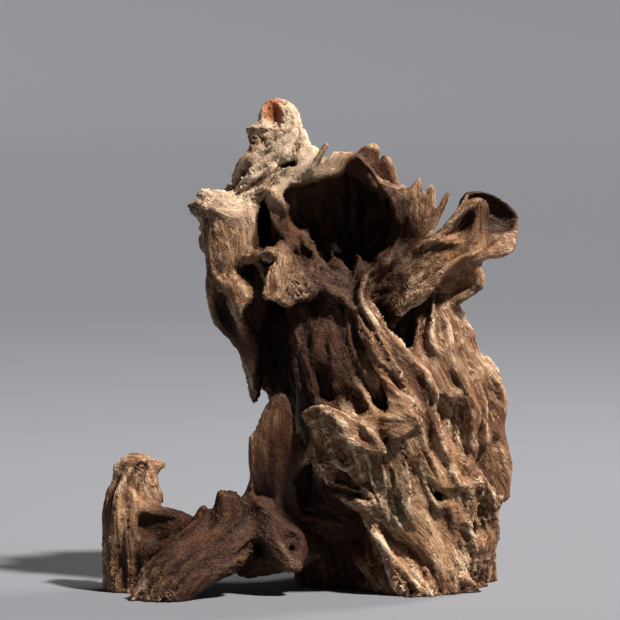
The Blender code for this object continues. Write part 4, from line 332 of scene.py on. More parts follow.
# %% Right foot
# A shaded body, a pale blade with its tip in the air and a toe on the floor.
add_limbs(1.0, [
    [(58, -8, 34, 10, 10), (60, -8, 20, 9.5, 12), (60, -7, 8, 9, 12), (58, -6, -12, 9, 13)],
    [(52, -23, 35, 1.6, 3), (59, -23, 31, 1.8, 3), (65, -20, 27.6, 1.8, 3), (70, -17, 25.6, 1.8, 2.6),
     (73, -15, 22, 1.6, 2.2), (74.6, -14, 19.4, 1, 1.4)],
    [(58, -21, 30, 2, 3), (63, -20, 25.4, 2.4, 3), (68, -17, 21.4, 2.2, 2.6),
     (73.6, -14, 18.8, 1.2, 1.4)],
    [(60, -14, 24, 7, 5), (63, -14, 16, 6.6, 5), (64, -13, 11, 4.6, 4)],
    [(69.4, -14, 19, 1.4, 3), (69.6, -14, 14, 1.4, 3), (66.4, -15, 10, 1.4, 3)],
    [(57, -22, 13, 1.2, 3), (60, -22, 9, 1.6, 3), (65, -20, 6.4, 2, 3), (70, -17, 3.6, 2, 2.6),
     (74, -15, 1, 1.2, 1.6)],
    [(62, -19, 5, 2.4, 3), (68, -17, 1.4, 2.4, 3), (73, -15, -1, 1.6, 2)],
    ([(60, -12, 2, 5, 5), (66, -11, -2, 4, 4), (71, -11, -5, 3, 3)], UP),
])

# %% [markdown]
# ## The foot, the shelf and the lip
# The middle of the front has a shelf that juts out like a brow over a shaded hollow, and a small lip
# beside it. Their worn edges catch the light. A bevel would round an edge evenly, so each edge has a
# thin limb of its own.

# %% Front foot
# A sharp crest, the panel beside the long furrow and a worn heel in the shade.
add_limbs(0.9, [
    [(18, -18, 42, 2, 4), (25, -23, 34, 1.8, 4), (31, -26, 22, 1.8, 4), (36, -28, 10, 1.8, 4),
     (41, -29, 2, 2, 4), (46, -30, -4, 3, 4), (48, -28, -12, 3, 4)],
    [(32, -18, 30, 5, 6), (37, -21, 20, 6, 6), (43, -23, 10, 6, 6), (49, -24, 0, 6, 6),
     (52, -22, -12, 6, 6)],
    [(30, -22, 44, 4, 5), (37, -26, 34, 4, 5), (44, -26, 26, 4, 5), (50, -25, 17, 3.5, 5),
     (54, -24, 10, 3, 4), (57, -22, 0, 3, 4), (58, -20, -12, 3, 4)],
    [(20, -12, 18, 3, 4), (26, -17, 11, 4, 5), (32, -20, 5, 4, 5), (38, -21, -2, 4, 5),
     (40, -20, -12, 4, 5)],
    [(28, -4, 30, 9, 14), (31, -6, 14, 9, 14), (33, -8, -12, 9, 14)],
])

# %% Shelf
# It juts out of the middle of the trunk, with a worn bright crest over a shaded hollow.
add_limbs(1.0, [
    [(5, -18, 79, 6, 8), (8, -23, 70, 7.4, 8), (9, -21, 58, 8, 7), (7, -12, 46, 7, 7)],
    [(15, -19, 78, 10, 9), (18, -25, 69, 10, 8), (20, -22, 58, 10, 8), (20, -13, 46, 10, 8)],
    ([(-2, -26, 79, 2.4, 4), (4, -31, 80, 3.2, 5), (11, -33, 77.4, 4, 5), (17, -34, 75, 4, 5),
      (23, -35, 72, 3.6, 5), (28, -37, 68.6, 2.6, 4), (31, -38, 66, 1.2, 3)], (0, -1, 0.6)),
    ([(-3, -25, 79.6, 1.2, 2.6), (2, -31, 83, 1.5, 3), (7, -36, 82, 1.9, 3), (12, -39, 78.6, 2, 3),
      (15.6, -41, 74, 1.8, 2.6), (17, -41, 69, 1.2, 2.2)], (0, -1, 0.4)),
    [(4, -30, 79, 2, 3), (9, -36, 76, 2.4, 3), (13, -39, 72.6, 2.4, 2.6), (17, -40, 70.6, 1.4, 2)],
    ([(15, -32, 80, 1.4, 3), (20, -36, 78, 1.7, 3), (24, -40, 74.6, 1.9, 3), (28, -42, 70.4, 1.8, 2.6),
      (31.6, -42, 67, 1.3, 2.2), (32, -41, 64.6, 1, 2)], (0, -1, 0.4)),
    [(16, -38, 66.4, 0.9, 3), (20.6, -40, 68.6, 1.1, 3), (24.6, -42, 65.8, 1.1, 3),
     (31.6, -42, 64.6, 1, 2.4)],
    [(29.6, -30, 64, 1.4, 4), (30.6, -31, 58, 1.6, 4), (31.6, -29, 50, 1.6, 4), (32, -27, 42, 1.4, 3),
     (35, -26, 36, 1.6, 3)],
    [(28, -24, 66, 4, 5), (29, -26, 57, 4, 5), (29, -24, 46, 4, 5)],
    [(0.6, -25, 78, 1.4, 3), (1.4, -29, 70, 1.6, 3), (0, -26, 63, 1.6, 3), (-4, -20, 58, 1.4, 2.6)],
    [(2, -28, 60, 2, 3), (8, -30, 59, 2, 3), (16, -31, 58.6, 2, 3)],
    ([(12, -23, 48, 14, 4), (22, -24, 43, 10, 5), (32, -24, 38, 5, 5), (40, -24, 32, 4, 5)], UP),
])

# %% Lip
# A small worn shelf of its own, right of the large one.
add_limbs(0.8, [
    [(24.6, -30, 80, 1.4, 3.4), (28, -35, 79.8, 1.6, 3.4), (35, -38, 80.4, 2, 3.4), (41, -38, 81.4, 2, 3),
     (45, -34, 79.6, 1.8, 3.4), (45.4, -31, 76, 1.6, 3)],
    [(26, -30, 78, 3, 5), (32, -34, 77, 5, 5), (38, -35, 76.4, 5.4, 5), (43, -32, 77, 3.4, 4.4)],
    [(21, -29, 80, 1.2, 3), (26, -34, 76.4, 1.4, 3), (32, -38, 73, 1.6, 3), (37, -38, 71.6, 1.6, 3),
     (41, -36, 74, 1.5, 3), (45, -33, 76, 1.3, 2.6)],
    [(30, -37, 78, 1, 3), (35, -39, 75.6, 1.1, 3), (39.6, -38, 74.6, 1, 2.6)],
    [(36, -27, 74, 5, 5), (37, -27, 66, 5, 5.4), (39, -26, 58, 5, 5.4)],
    [(40.4, -33, 72, 1.2, 2.6), (41, -31, 67, 1.4, 2.6), (43.6, -29, 60, 1.4, 2.6)],
])

# %% [markdown]
# ## The left side
# High on the left a blocky flange stands out under a slanting plate. Below it hang a hooked lobe and a
# pale tongue, and a thin skin of wood that tapers to a point beside the dark cleft. The skin's broad
# side looks to the left, so that it is thin from the front and closes the cleft from the side.

# %% Left skin
# The thin skin that hangs down the left of the cleft and ends in a point.
add_limbs(0.7, [
    ([(-38, -6, 152, 14, 5), (-41.6, -5, 138, 13, 4), (-42, -3, 129, 13, 3.4),
      (-39.6, -1, 121.6, 13, 3.2), (-34.6, 1, 115.6, 13, 3), (-29.2, 3, 109, 12, 3.2),
      (-26.2, 5, 101, 11, 3.2), (-25, 5, 92, 8, 2.8), (-24.8, 4, 82.6, 1.8, 1.4)], SIDE),
    ([(-30, 20, 150, 12, 8), (-30, 22, 128, 12, 8), (-24, 26, 108, 10, 6),
      (-17, 28, 90, 8, 6)], (-1, 1, 0)),
    ([(-34, -16, 128, 4, 3), (-30, -14, 118, 4, 3), (-25, -10, 110, 3, 3),
      (-24, -5, 98, 1.6, 2)], (-1, -1, 0)),
])

# %% Flange
# A block under a rim, five flutes down its face, and two slanting plates over it.
add_limbs(0.7, [
    ([(-39.6, -9, 167, 9.4, 8), (-39.4, -10, 157, 8.6, 8), (-38.6, -11, 148, 7.6, 7.6),
      (-38, -11, 138, 6, 6)], (-0.15, -1, 0)),
    ([(-51, -8, 168.6, 1.8, 4), (-46, -14, 169.4, 2.4, 5), (-40, -18, 167.6, 2.4, 4),
      (-34, -19, 166, 2.4, 4), (-29.6, -17, 165.6, 1.8, 4)], (0, -1, 0.5)),
    [(-45.4, -13, 164, 1.3, 4), (-45, -16, 156, 1.5, 4), (-44.4, -17, 148, 1.6, 4),
     (-43.6, -16, 138, 1.3, 3)],
    [(-41.4, -18, 164, 1, 3), (-41, -19, 157, 1.2, 3), (-41, -19, 148, 1.4, 3),
     (-40.6, -17, 139, 1.2, 2.6)],
    [(-37, -19, 164, 1, 3), (-37, -20, 156, 1.3, 3), (-37.6, -19, 147, 1.3, 3),
     (-37.4, -17, 138, 1.2, 2.4)],
    [(-33, -19, 165, 1, 3), (-33.4, -19, 157, 1.1, 3), (-34, -18, 150, 1.1, 3)],
    [(-30, -17, 164, 1.3, 3), (-29.4, -18, 156, 1.4, 3), (-31, -18, 149, 1.5, 3),
     (-36, -18, 144, 1.4, 3)],
    ([(-22, -8, 166, 7, 4), (-31, -9, 169, 7, 4), (-39, -10, 172, 5.4, 3),
      (-47.4, -9, 176, 2.2, 2)], (0.35, -0.5, 1)),
    [(-47.6, -10, 176.8, 1.1, 1.8), (-42, -14, 173.6, 1.5, 2.4), (-36, -16, 170, 1.6, 2.6),
     (-30, -16, 167, 1.4, 2.6)],
    [(-46.8, -3, 155.6, 1.6, 4), (-46.9, -3, 150, 1.2, 3)],
    [(-28, 4, 166, 12, 12), (-32, 4, 154, 12, 12), (-33, 2, 138, 10, 10)],
    [(-26.4, -10, 170, 2.4, 5), (-25.6, -13, 164, 2.4, 5), (-27, -14, 158, 2.2, 5),
     (-28, -14, 150, 2, 5)],
])

# %% Lobes and tongue
# A hooked lobe, the bridge that crosses to the middle and the pale tongue that hangs off it.
add_limbs(0.6, [
    [(-37, -11, 141, 4, 6), (-34, -17, 137, 5, 5), (-31.6, -20, 131, 4, 4), (-31.4, -20, 126, 2.4, 3),
     (-31.6, -19, 122.4, 1, 1.6)],
    [(-30, -17, 137, 4, 4), (-26.6, -20, 134, 2.6, 3.4), (-26, -21, 131.4, 1.6, 2.6),
     (-29.6, -21, 127, 1.2, 2.4)],
    [(-33, -21, 136, 1.2, 2.4), (-32.6, -23, 130, 1.3, 2.4), (-31.8, -21, 124, 1, 2)],
    [(-31, -14, 146.6, 2, 4), (-26, -20, 148.6, 2.4, 4), (-20.6, -24, 151.6, 2.4, 4),
     (-15, -25, 151, 2.4, 4), (-10, -24, 149, 3, 4), (-7.6, -22, 145, 2.6, 4)],
    ([(-12, -21, 153.6, 2.6, 4), (-11.4, -26, 149, 3.4, 4), (-12.4, -29, 143.6, 3.9, 4),
      (-14.4, -31, 138, 4.2, 3.2), (-16.6, -31, 133, 3.8, 2.2)], (-0.25, -1, 0)),
    [(-17.6, -30, 145, 0.9, 2.4), (-18.8, -32, 139, 1, 2.4), (-20.6, -33, 132.8, 1.2, 2)],
    [(-21, -33, 131.8, 0.9, 1.6), (-17, -34, 131, 1.1, 1.8), (-12.6, -33, 131, 1, 1.8)],
    [(-22, -16, 146, 2, 4), (-20, -18, 141, 2, 4), (-18.6, -20, 138, 1.6, 3)],
    [(-8, -20, 145, 4, 5), (-6.6, -24, 139, 4.4, 5), (-5, -26, 134.6, 4, 4)],
    [(-10, -27, 136, 2.4, 3), (-6, -28, 133, 2.6, 3), (-1.6, -27, 131.4, 2.4, 3),
     (1, -25, 133, 1.4, 2.4)],
    [(-15, -28, 130, 1.2, 2.4), (-12.4, -29, 127.8, 1.3, 2.4), (-8, -29, 129, 1.2, 2.4)],
    [(-17, -8, 145, 9, 7), (-10, -9, 139, 11, 7), (-2, -11, 134, 12, 6)],
    [(-32, -6, 138, 10, 8), (-28, -4, 128, 9, 8), (-24, 0, 116, 8, 7)],
])

# %% [markdown]
# ## The bowl
# The top is hollow: a deep bowl with a ragged rim, a sill at the bottom and a fan of blunt fingers on
# its right. The walls are drawn full here, and the hollow is cut out of them later, which gives clean
# deep shade.

# %% Sill
# The ragged sill along the bottom of the bowl, from the tongue to the arm, with a small ring of wood on it.
RING_TURNS = np.radians(range(0, 361, 30))
ring = [
    (18 + 3.1 * math.cos(turn), -25 + 0.8 * math.sin(turn), 129 + 3.3 * math.sin(turn), 0.9, 1.1)
    for turn in RING_TURNS
]
add_limbs(1.2, [
    [(-8, -19, 142, 3, 4), (-4, -22, 139, 2.4, 4), (0, -22, 140, 2.4, 4), (5, -22, 137, 2.6, 4),
     (10, -21, 134, 3, 4), (15, -20, 135, 2.6, 4), (19, -21, 134.6, 2.4, 4)],
    [(0, -21, 146, 1.3, 3), (-1, -23, 142.6, 1.5, 3), (2.6, -24, 139.6, 1.5, 2.6),
     (5, -24, 136, 1.4, 2.6), (8.4, -24, 132, 1.4, 2.6), (10.4, -23, 130.4, 1.2, 2)],
    [(8, -21, 138, 1.2, 2.4), (11.6, -23, 134, 1.4, 2.6), (12, -23, 130.6, 1.2, 2.4),
     (15, -25, 130.6, 0.8, 1.4)],
    [(20, -21, 126, 2, 4), (20.4, -22, 132, 2.4, 4), (22, -22, 138, 2.4, 4), (26, -20, 142.4, 2.4, 4),
     (31, -18, 146, 2.6, 4), (35, -16, 150, 2.4, 4)],
    [(19, -24, 133, 0.9, 2), (21.6, -25, 136.6, 1, 2), (22.4, -24, 140, 1, 2),
     (26.6, -22, 142.6, 0.9, 2)],
    [(29, -19, 144, 2, 3), (31.6, -21, 146.6, 2.2, 3), (34.6, -19, 148, 1.6, 3)],
    [(6, -9, 130, 15, 9), (20, -8, 130, 12, 10), (34, -4, 138, 10, 12)],
    ring,
])

# %% Walls of the bowl
# The mass behind it, the left and right cheeks and the roof.
add_limbs(0.9, [
    [(8, 24, 138, 33, 16), (8, 25, 158, 34, 16), (7, 21, 173, 27, 16), (6, 15, 180, 20, 9)],
    [(-16, 2, 138, 9, 14), (-20, 2, 154, 9, 15), (-20, 2, 168, 10, 14), (-16, 4, 176, 10, 12)],
    [(36, 4, 138, 8, 18), (38, 4, 152, 7, 18), (38, 4, 166, 6, 16), (33, 4, 176, 5, 14)],
    ([(-6, 10, 181, 12, 4), (6, 8, 185, 14, 4), (17, 6, 187.6, 15, 4), (26, 4, 183, 13, 4),
      (33, 2, 176, 12, 4)], UP),
])

# %% Folds in the bowl
# They stand in its mouth, half lost in the dark.
add_limbs(0.8, [
    [(-18, -12, 173, 2, 3), (-15, -13, 167, 2, 3), (-10, -10, 162, 2.2, 3), (-7, -4, 155, 2.4, 3)],
    [(-13, -9, 172, 1.8, 3), (-10, -10, 167, 1.8, 3), (-6, -8, 162, 1.8, 3)],
    [(-19, -14, 178, 1.4, 3), (-15, -15, 175, 1.4, 3), (-11, -15, 170, 1.5, 3), (-9.4, -14, 164, 1.4, 3)],
    [(-19, -13, 168, 1.4, 3), (-15, -14, 163, 1.6, 3), (-12, -13, 157, 1.6, 3), (-8, -13, 152, 1.4, 3)],
    [(-4, -13, 158, 1.2, 3), (-1, -13, 152, 1.4, 3), (4, -15, 146, 1.4, 3), (8, -17, 140, 1.2, 3)],
    [(-10, -4, 176, 3, 3), (-8, -5, 168, 2.6, 3), (-5, -2, 160, 2.6, 3)],
    [(-4, 0, 160, 2.6, 4), (-2, -6, 150, 3, 4), (0, -14, 142, 3, 4)],
    [(28, 2, 158, 2, 4), (30, -6, 150, 2.2, 4), (28, -14, 141, 2.4, 4), (24, -18, 134, 2, 4)],
    [(10, 2, 152, 2, 4), (12, -8, 144, 2.2, 4), (14, -16, 137, 2.2, 4), (17, -19, 131, 1.8, 3)],
    [(20, 2, 152, 1.8, 4), (21, -8, 145, 2, 4), (20, -16, 138, 2, 4), (19, -19, 132, 1.6, 3)],
])

# %% Rim of the bowl
# Knob by knob from the pinnacle to the fan, with chips behind it.
add_limbs(0.8, [
    [(-14, -9, 179, 1.8, 3), (-9, -12, 182.6, 2.2, 3), (-5, -13, 180.6, 1.8, 3), (-1, -13, 182.4, 1.8, 3),
     (4, -13, 183.6, 1.8, 3), (9, -13, 185, 1.8, 3), (13, -12, 188, 1.8, 3), (14.6, -10, 192, 1.8, 3)],
    [(-10, -8, 184, 4, 5), (-4, -8, 185, 4, 5), (3, -8, 186.6, 4, 5), (10, -7, 188.4, 4, 5)],
    [(14.6, -10, 191.6, 1.8, 3), (17, -11, 192.6, 2, 3), (20.6, -12, 191.4, 1.5, 3),
     (24, -13, 188, 1.2, 3), (27, -14, 184.4, 1.2, 3), (30, -15, 180.6, 1.3, 3), (33, -16, 177, 1.5, 3),
     (35.6, -16, 172, 1.8, 3), (37, -15, 167, 2, 3), (40, -13, 162.4, 1.6, 3), (42, -8, 157.6, 1.6, 3)],
    [(20.4, -5, 189, 2.4, 4), (22.6, -5, 193, 2.2, 3), (26.6, -5, 195.6, 2, 2.4)],
    [(26.2, -3, 184, 3.4, 4), (26.8, -4, 190, 3.1, 3.4), (27.4, -4, 195, 2.6, 2.4)],
    [(31.6, -3, 179, 3.8, 4), (32.4, -4, 185, 3.4, 3.4), (32, -4, 189.6, 2.6, 2.6)],
    [(31, -5, 190.6, 1.4, 2.4), (33.6, -5, 189.4, 1.4, 2.4), (34.8, -4, 185, 1.2, 2.4)],
    ([(-3, -9, 185, 3.4, 4), (-1, -9, 190, 3.4, 3.6), (0.6, -9, 194, 2.6, 3)], (0.3, -1, 0)),
    [(-6.6, -10, 181, 1, 2.4), (-4.6, -11, 184.6, 1.1, 2.4), (-3.4, -11, 188, 1, 2.4)],
])

# %% Fan
# The flared wall on the right of the bowl, with blunt fingers along its edge.
add_limbs(0.6, [
    ([(38, -4, 142, 7, 6), (41, -7, 152, 7, 5), (43.6, -9, 162, 8, 4.6),
      (43.6, -10, 171, 7.6, 4)], (-0.3, -1, 0.2)),
    [(36, -15, 174, 1.8, 3), (37.4, -15, 168.4, 2.4, 3), (39.6, -14, 164, 1.8, 3)],
    ([(42, -12, 165, 3, 3.4), (44, -14, 173, 3, 3.4), (45.6, -14.6, 179, 2.3, 2.6),
      (46.4, -15, 182.6, 1.5, 1.6)], (0.1, -1, 0)),
    [(47, -11, 162, 2.6, 3.4), (49.6, -13, 170, 2.6, 3), (51.4, -13.6, 176, 2, 2.4),
     (52.2, -14, 179.8, 1.3, 1.4)],
    [(46.6, -11, 154.6, 2.6, 3.6), (51.4, -12.6, 162, 2.5, 3), (55.4, -13, 169, 2.1, 2.4),
     (58.4, -13, 174.8, 1.6, 1.8), (60, -13, 178, 1, 1.2)],
    [(31.6, -14, 180, 1.6, 3), (36, -14, 178.6, 2, 3), (40.6, -13, 178.2, 1.6, 3)],
    [(38, -14, 172, 1.6, 2.6), (40.6, -15, 175, 1.6, 2.6), (42, -13, 178, 1.4, 2.4)],
    [(42, -14, 164, 1.2, 2.4), (43.4, -15, 169, 1.4, 2.4), (42.6, -14, 174, 1.2, 2)],
    [(45, -13, 160, 1.2, 2.4), (48.6, -14, 167, 1.3, 2.4), (50.6, -13, 171, 1.3, 2.4),
     (53, -13, 173, 1, 2)],
])

# %% [markdown]
# ## The pinnacle
# A pale stump stands on the left of the rim, lump upon lump up to a broken, hollow end. One thick
# tapered limb is its core, and the lumps are short limbs that climb round it aslant, as they do on the
# real one.

# %% Pinnacle
# The core, and lump upon lump up to a hollow, splintered end.
add_limbs(0.85, [
    [(-20, 6, 166, 14, 13), (-18.4, 4, 176, 13.6, 12), (-16, 2, 184, 12.4, 11), (-13.4, 1, 192, 10.2, 10),
     (-12, 0, 199, 9, 9), (-13.4, 0, 206, 7.8, 8), (-14.2, 0, 210.4, 6.6, 7)],
    # the lumps
    [(-31.4, -1, 179, 2.4, 5), (-31.8, -1, 184.6, 2.4, 5), (-29, -3, 189.4, 2.6, 5),
     (-25, -5, 193, 2.4, 4)],
    [(-35.6, 0, 176.2, 1.4, 3), (-31, -5, 178.6, 2.4, 4), (-27, -8, 182.6, 2.4, 4),
     (-24, -9, 187.6, 2.2, 4)],
    [(-31, -7, 172, 2, 4), (-25, -10, 175.6, 2.4, 4), (-20, -11.6, 180.4, 2.4, 4),
     (-16.6, -12, 186, 2, 4)],
    [(-22, -8, 188, 2.2, 4), (-17, -10, 192, 2.4, 4), (-11, -10, 196.4, 2.4, 4), (-7, -8, 201, 2, 4)],
    [(-14, -12, 182, 1.6, 3.4), (-11, -12.6, 187, 1.8, 3.4), (-9, -12, 192.4, 1.6, 3)],
    [(-7.6, -12, 180.6, 1.6, 3.4), (-5.6, -13, 185.6, 1.9, 3), (-4, -11, 191.6, 1.6, 3),
     (-4.4, -8, 197, 1.4, 3)],
    [(-20, -12, 170, 1.4, 3.4), (-16, -13.6, 175, 1.6, 3.4), (-11, -14, 179, 1.4, 3)],
    [(-19.6, -8, 199, 1.2, 3), (-14, -10, 199, 1.6, 3), (-9, -10, 202, 1.4, 3),
     (-6.6, -8, 207, 1.2, 2.4)],
    # the horn on the left
    [(-13, -1, 201.6, 4.4, 6), (-18, -3, 200.8, 4.2, 5), (-23, -4, 201, 3.2, 3.6),
     (-26.4, -4, 202.4, 1.8, 2.2), (-29, -4, 204, 0.9, 1)],
    [(-18, -7, 204.4, 1.2, 2.6), (-24, -7, 204.8, 1.1, 2.2), (-29, -4, 204.8, 0.8, 1)],
    [(-27.2, -4, 201, 1, 2), (-25, -5, 197.4, 1.4, 3), (-22, -6, 195, 1.6, 3)],
    # the broken, hollow end
    [(-21, -3, 203, 1.8, 4.4), (-21.2, -3, 209, 1.7, 4.4), (-20, -3, 213, 1.6, 3.6)],
    [(-20, -2, 213, 1.6, 3.6), (-17, -1, 215.6, 1.6, 3.6), (-13, -1, 215, 1.7, 3.6),
     (-9, -2, 212.8, 2, 4)],
    [(-9.2, -4, 212.6, 2, 4), (-7.8, -5, 208.6, 2.4, 4.4), (-7.4, -6, 204, 2.8, 4.6),
     (-5.6, -6, 199.6, 2.6, 4.4), (-3.6, -5, 195, 2, 4)],
    [(-17.4, -7, 204.4, 1.3, 3), (-14, -9, 203, 1.5, 3), (-10, -9, 204, 1.4, 3)],
    [(-3.6, -7, 203, 0.9, 2.4), (-2.6, -7, 199, 1.1, 2.6), (-1.4, -6, 195, 1.1, 2.6)],
])

# %% Peg and chip
# A peg and a squared chip stand on the rim beside the pinnacle.
add_limbs(0.3, [
    [(-0.4, -16, 186, 2, 2.4), (2.6, -17.4, 191.6, 2, 2.2), (6.6, -18, 197.6, 2.1, 2.2)],
    ([(9.6, -12, 185.6, 4.6, 2.6), (10, -12, 189.4, 4.6, 2.2),
      (10.6, -12, 192.6, 4.2, 1.8)], (0.1, -1, 0)),
    [(7, -14, 187, 0.8, 1.8), (8, -14, 190.6, 0.8, 1.8), (9, -14, 193.6, 0.8, 1.8),
     (14, -14, 193.4, 0.8, 1.8), (14, -14, 187.4, 0.8, 1.8)],
])

# %% [markdown]
# ## The arm, its blade and its ear
# A thick arm climbs to the right out of the bowl's side. It is a trough between two raised edges, it
# ends in a broad thin blade, and a small cupped ear hangs under it. The trough needs no cut: its floor
# is one broad limb, and its edges are narrow ones that stand in front of it.

# %% Arm
# The floor of the trough, then its edges and the strands between them.
add_limbs(0.7, [
    ([(26, -4, 118, 11, 12), (38, -9, 132, 11.6, 9), (49, -13, 143, 9.6, 7), (59, -15, 153, 8, 6),
      (66, -15, 160, 7, 5)], (0.25, -1, 0.1)),
    [(40, -13, 148.6, 1.8, 4), (46, -15, 152.6, 1.8, 4), (53, -16, 158, 1.8, 4), (59, -16, 164, 1.8, 4),
     (64, -15, 170, 1.8, 3.6), (66.6, -13, 174.6, 1.6, 3)],
    [(52, -17, 156, 1.2, 3), (59, -19, 163, 1.3, 3), (66, -20, 169.6, 1.5, 3), (71, -20, 173.4, 1.5, 3),
     (74.8, -19, 172.6, 1.4, 3), (75.4, -18, 166, 1.3, 3), (74.8, -18, 158, 1.3, 3),
     (72.6, -18, 151, 1.6, 3)],
    [(33, -17, 122, 2.4, 4), (44, -21, 130, 2.2, 4), (52, -22, 136, 2, 4), (58, -22, 144, 2, 4),
     (64, -21, 149, 2.2, 3.4)],
    [(60, -18, 146, 2, 3.6), (64, -20, 149.6, 2.4, 3.6), (69, -20, 150, 2.6, 3.6),
     (74, -17, 150, 2.4, 3)],
    [(52, -18, 154.4, 1.2, 3), (58, -20, 155, 1.4, 3), (63.6, -21, 154.6, 1.4, 3), (68, -21, 156, 1.6, 3),
     (70.6, -21, 163, 1.6, 3), (72, -20, 170, 1.3, 2.6)],
    [(68, -17, 152, 4, 4), (71.6, -17, 160, 3, 3.4), (73, -17, 168, 2, 2.6)],
    [(30, -11, 129, 6, 6), (36, -14, 138, 5.6, 5), (43, -14, 147, 3.6, 4)],
    [(44, -21, 128.4, 1.6, 3), (50, -22, 132.4, 1.6, 3), (52.6, -22, 137, 1.3, 2.6)],
])

# %% Blade
# Broad and thin, dark in its hollow, with a curled lower edge in facets.
add_limbs(0.5, [
    ([(67, -6, 163, 11, 3.4), (73, -4, 163.4, 12, 2.6), (80, -2, 162.4, 11, 2.2),
      (86, -2, 161.4, 8.6, 1.8), (88.4, -3, 161.4, 5.4, 1.4)], (-0.2, -1, 0.1)),
    [(64.4, -10, 171, 1.5, 2.6), (66, -9, 174.6, 1.2, 2.4), (69, -9, 175.9, 1, 2.2),
     (75, -8, 175.7, 0.9, 2), (80, -7, 173.8, 0.9, 1.8), (85.6, -5, 169.8, 0.9, 1.6),
     (89.5, -4, 165.4, 0.9, 1.4)],
    [(89.6, -4, 165, 0.9, 1.4), (89.2, -5, 160, 1, 1.6), (88, -7, 156.4, 1.2, 2)],
    [(72, -13, 150.4, 2.4, 4), (78, -14, 150, 2.4, 4), (83.6, -13, 150.6, 2.2, 3.6),
     (87, -10, 153, 1.9, 3), (88, -6, 157, 1.5, 2.4)],
    ([(76, -10, 154, 4.4, 4), (81, -10, 155.4, 4.6, 3.6), (86, -8, 156.4, 3.4, 3)], (0.2, -1, 0.4)),
    [(79, -14, 158, 1.1, 2.4), (80.4, -15, 154, 1.2, 2.4), (82, -15, 151, 1.1, 2.4)],
    [(83.6, -13, 158.4, 1, 2.4), (84.6, -14, 154.6, 1.1, 2.4), (86, -12, 151.6, 1, 2.4)],
])

# %% Ear
# The small cupped ear under the blade, with a thick pale edge.
add_limbs(0.5, [
    ([(54, -6, 124, 6, 6), (60, -7, 132, 7, 5), (65, -8, 140, 7, 4.6),
      (66, -9, 147, 5, 4)], (0.2, -1, 0)),
    [(60, -11, 126.4, 2, 4), (65, -12, 130, 2, 4), (70, -12, 133.6, 2.4, 4), (72.6, -13, 136.4, 2.6, 4),
     (72.2, -14, 141, 2.6, 4), (70.4, -15, 145, 2.4, 4), (68, -17, 149, 2, 4)],
    [(56, -15, 134, 1, 2.4), (60, -16, 137, 1, 2.4), (65, -16, 139, 1, 2.4), (69, -15, 140.6, 1, 2.4)],
    [(62, -16, 143.6, 2, 3), (66, -17, 146, 2, 3), (69, -17, 144, 1.6, 2.6)],
    [(50, -4, 112, 8, 8), (56, -4, 122, 6, 7)],
])

# %% [markdown]
# ## The slab, the root and the post
# Low on the left a smooth upright slab stands in front of the cleft. A root swings forward from it to a
# foot of its own, and a web joins it to a short post at the far left. Every foot is drawn on below the
# floor, and one saw cut makes them all level, so that the wood stands as the real one does.

# %% Slab
# Upright and leaf-shaped, with a rolled bright right edge.
add_limbs(0.4, [
    ([(-15, -16, 30, 6, 5), (-17, -19, 42, 7.6, 3.6), (-18.4, -22, 55, 8.2, 3), (-18, -23, 69, 8.2, 2.8),
      (-15.6, -23, 80, 6.4, 2.6), (-14, -23, 86, 4.2, 2.2)], (-0.3, -1, 0.05)),
    [(-18, -23, 85, 1.1, 2.4), (-13.6, -24, 88.6, 1.2, 2.4), (-10, -24, 85, 1.2, 2.4),
     (-9.4, -25, 76, 1.2, 2.6), (-9.6, -24, 66, 1.6, 3), (-8.6, -23, 58, 1.4, 3), (-8.4, -20, 48, 1.6, 4),
     (-8, -17, 38, 3, 5)],
    [(-9, -24, 73.6, 0.8, 2), (-6.4, -23, 69, 1.1, 2.4), (-6.4, -22, 65, 1.3, 2.4),
     (-8, -22, 60, 1.2, 2.4)],
    [(-3, -20, 63, 1.2, 2.4), (-5.4, -21, 57, 1.5, 2.6), (-7.4, -20, 50, 1.6, 2.8),
     (-7.4, -19, 44, 1.4, 2.6), (-5.6, -18, 38, 1.2, 2.4)],
    [(-7, -20, 63, 1.8, 2.4), (-3, -20, 63.6, 1.8, 2.4), (1, -20, 66, 1.6, 2.6)],
    [(-26.2, -20, 70, 1, 2.4), (-26.4, -20, 60, 1.1, 2.4), (-25.4, -19, 50, 1.2, 2.6),
     (-28, -19, 43, 1.4, 2.8)],
    [(-5, 0, 28, 8, 8), (-5, 0, 46, 6, 8), (-6, 0, 62, 5, 8)],
    [(-20, -22, 74, 1, 3), (-21, -23, 62, 1.1, 3), (-20, -22, 48, 1.2, 3)],
    [(-15, -24, 76, 0.9, 3), (-15.4, -25, 62, 1, 3), (-14.6, -23, 48, 1.1, 3), (-15, -20, 36, 1.2, 3)],
])

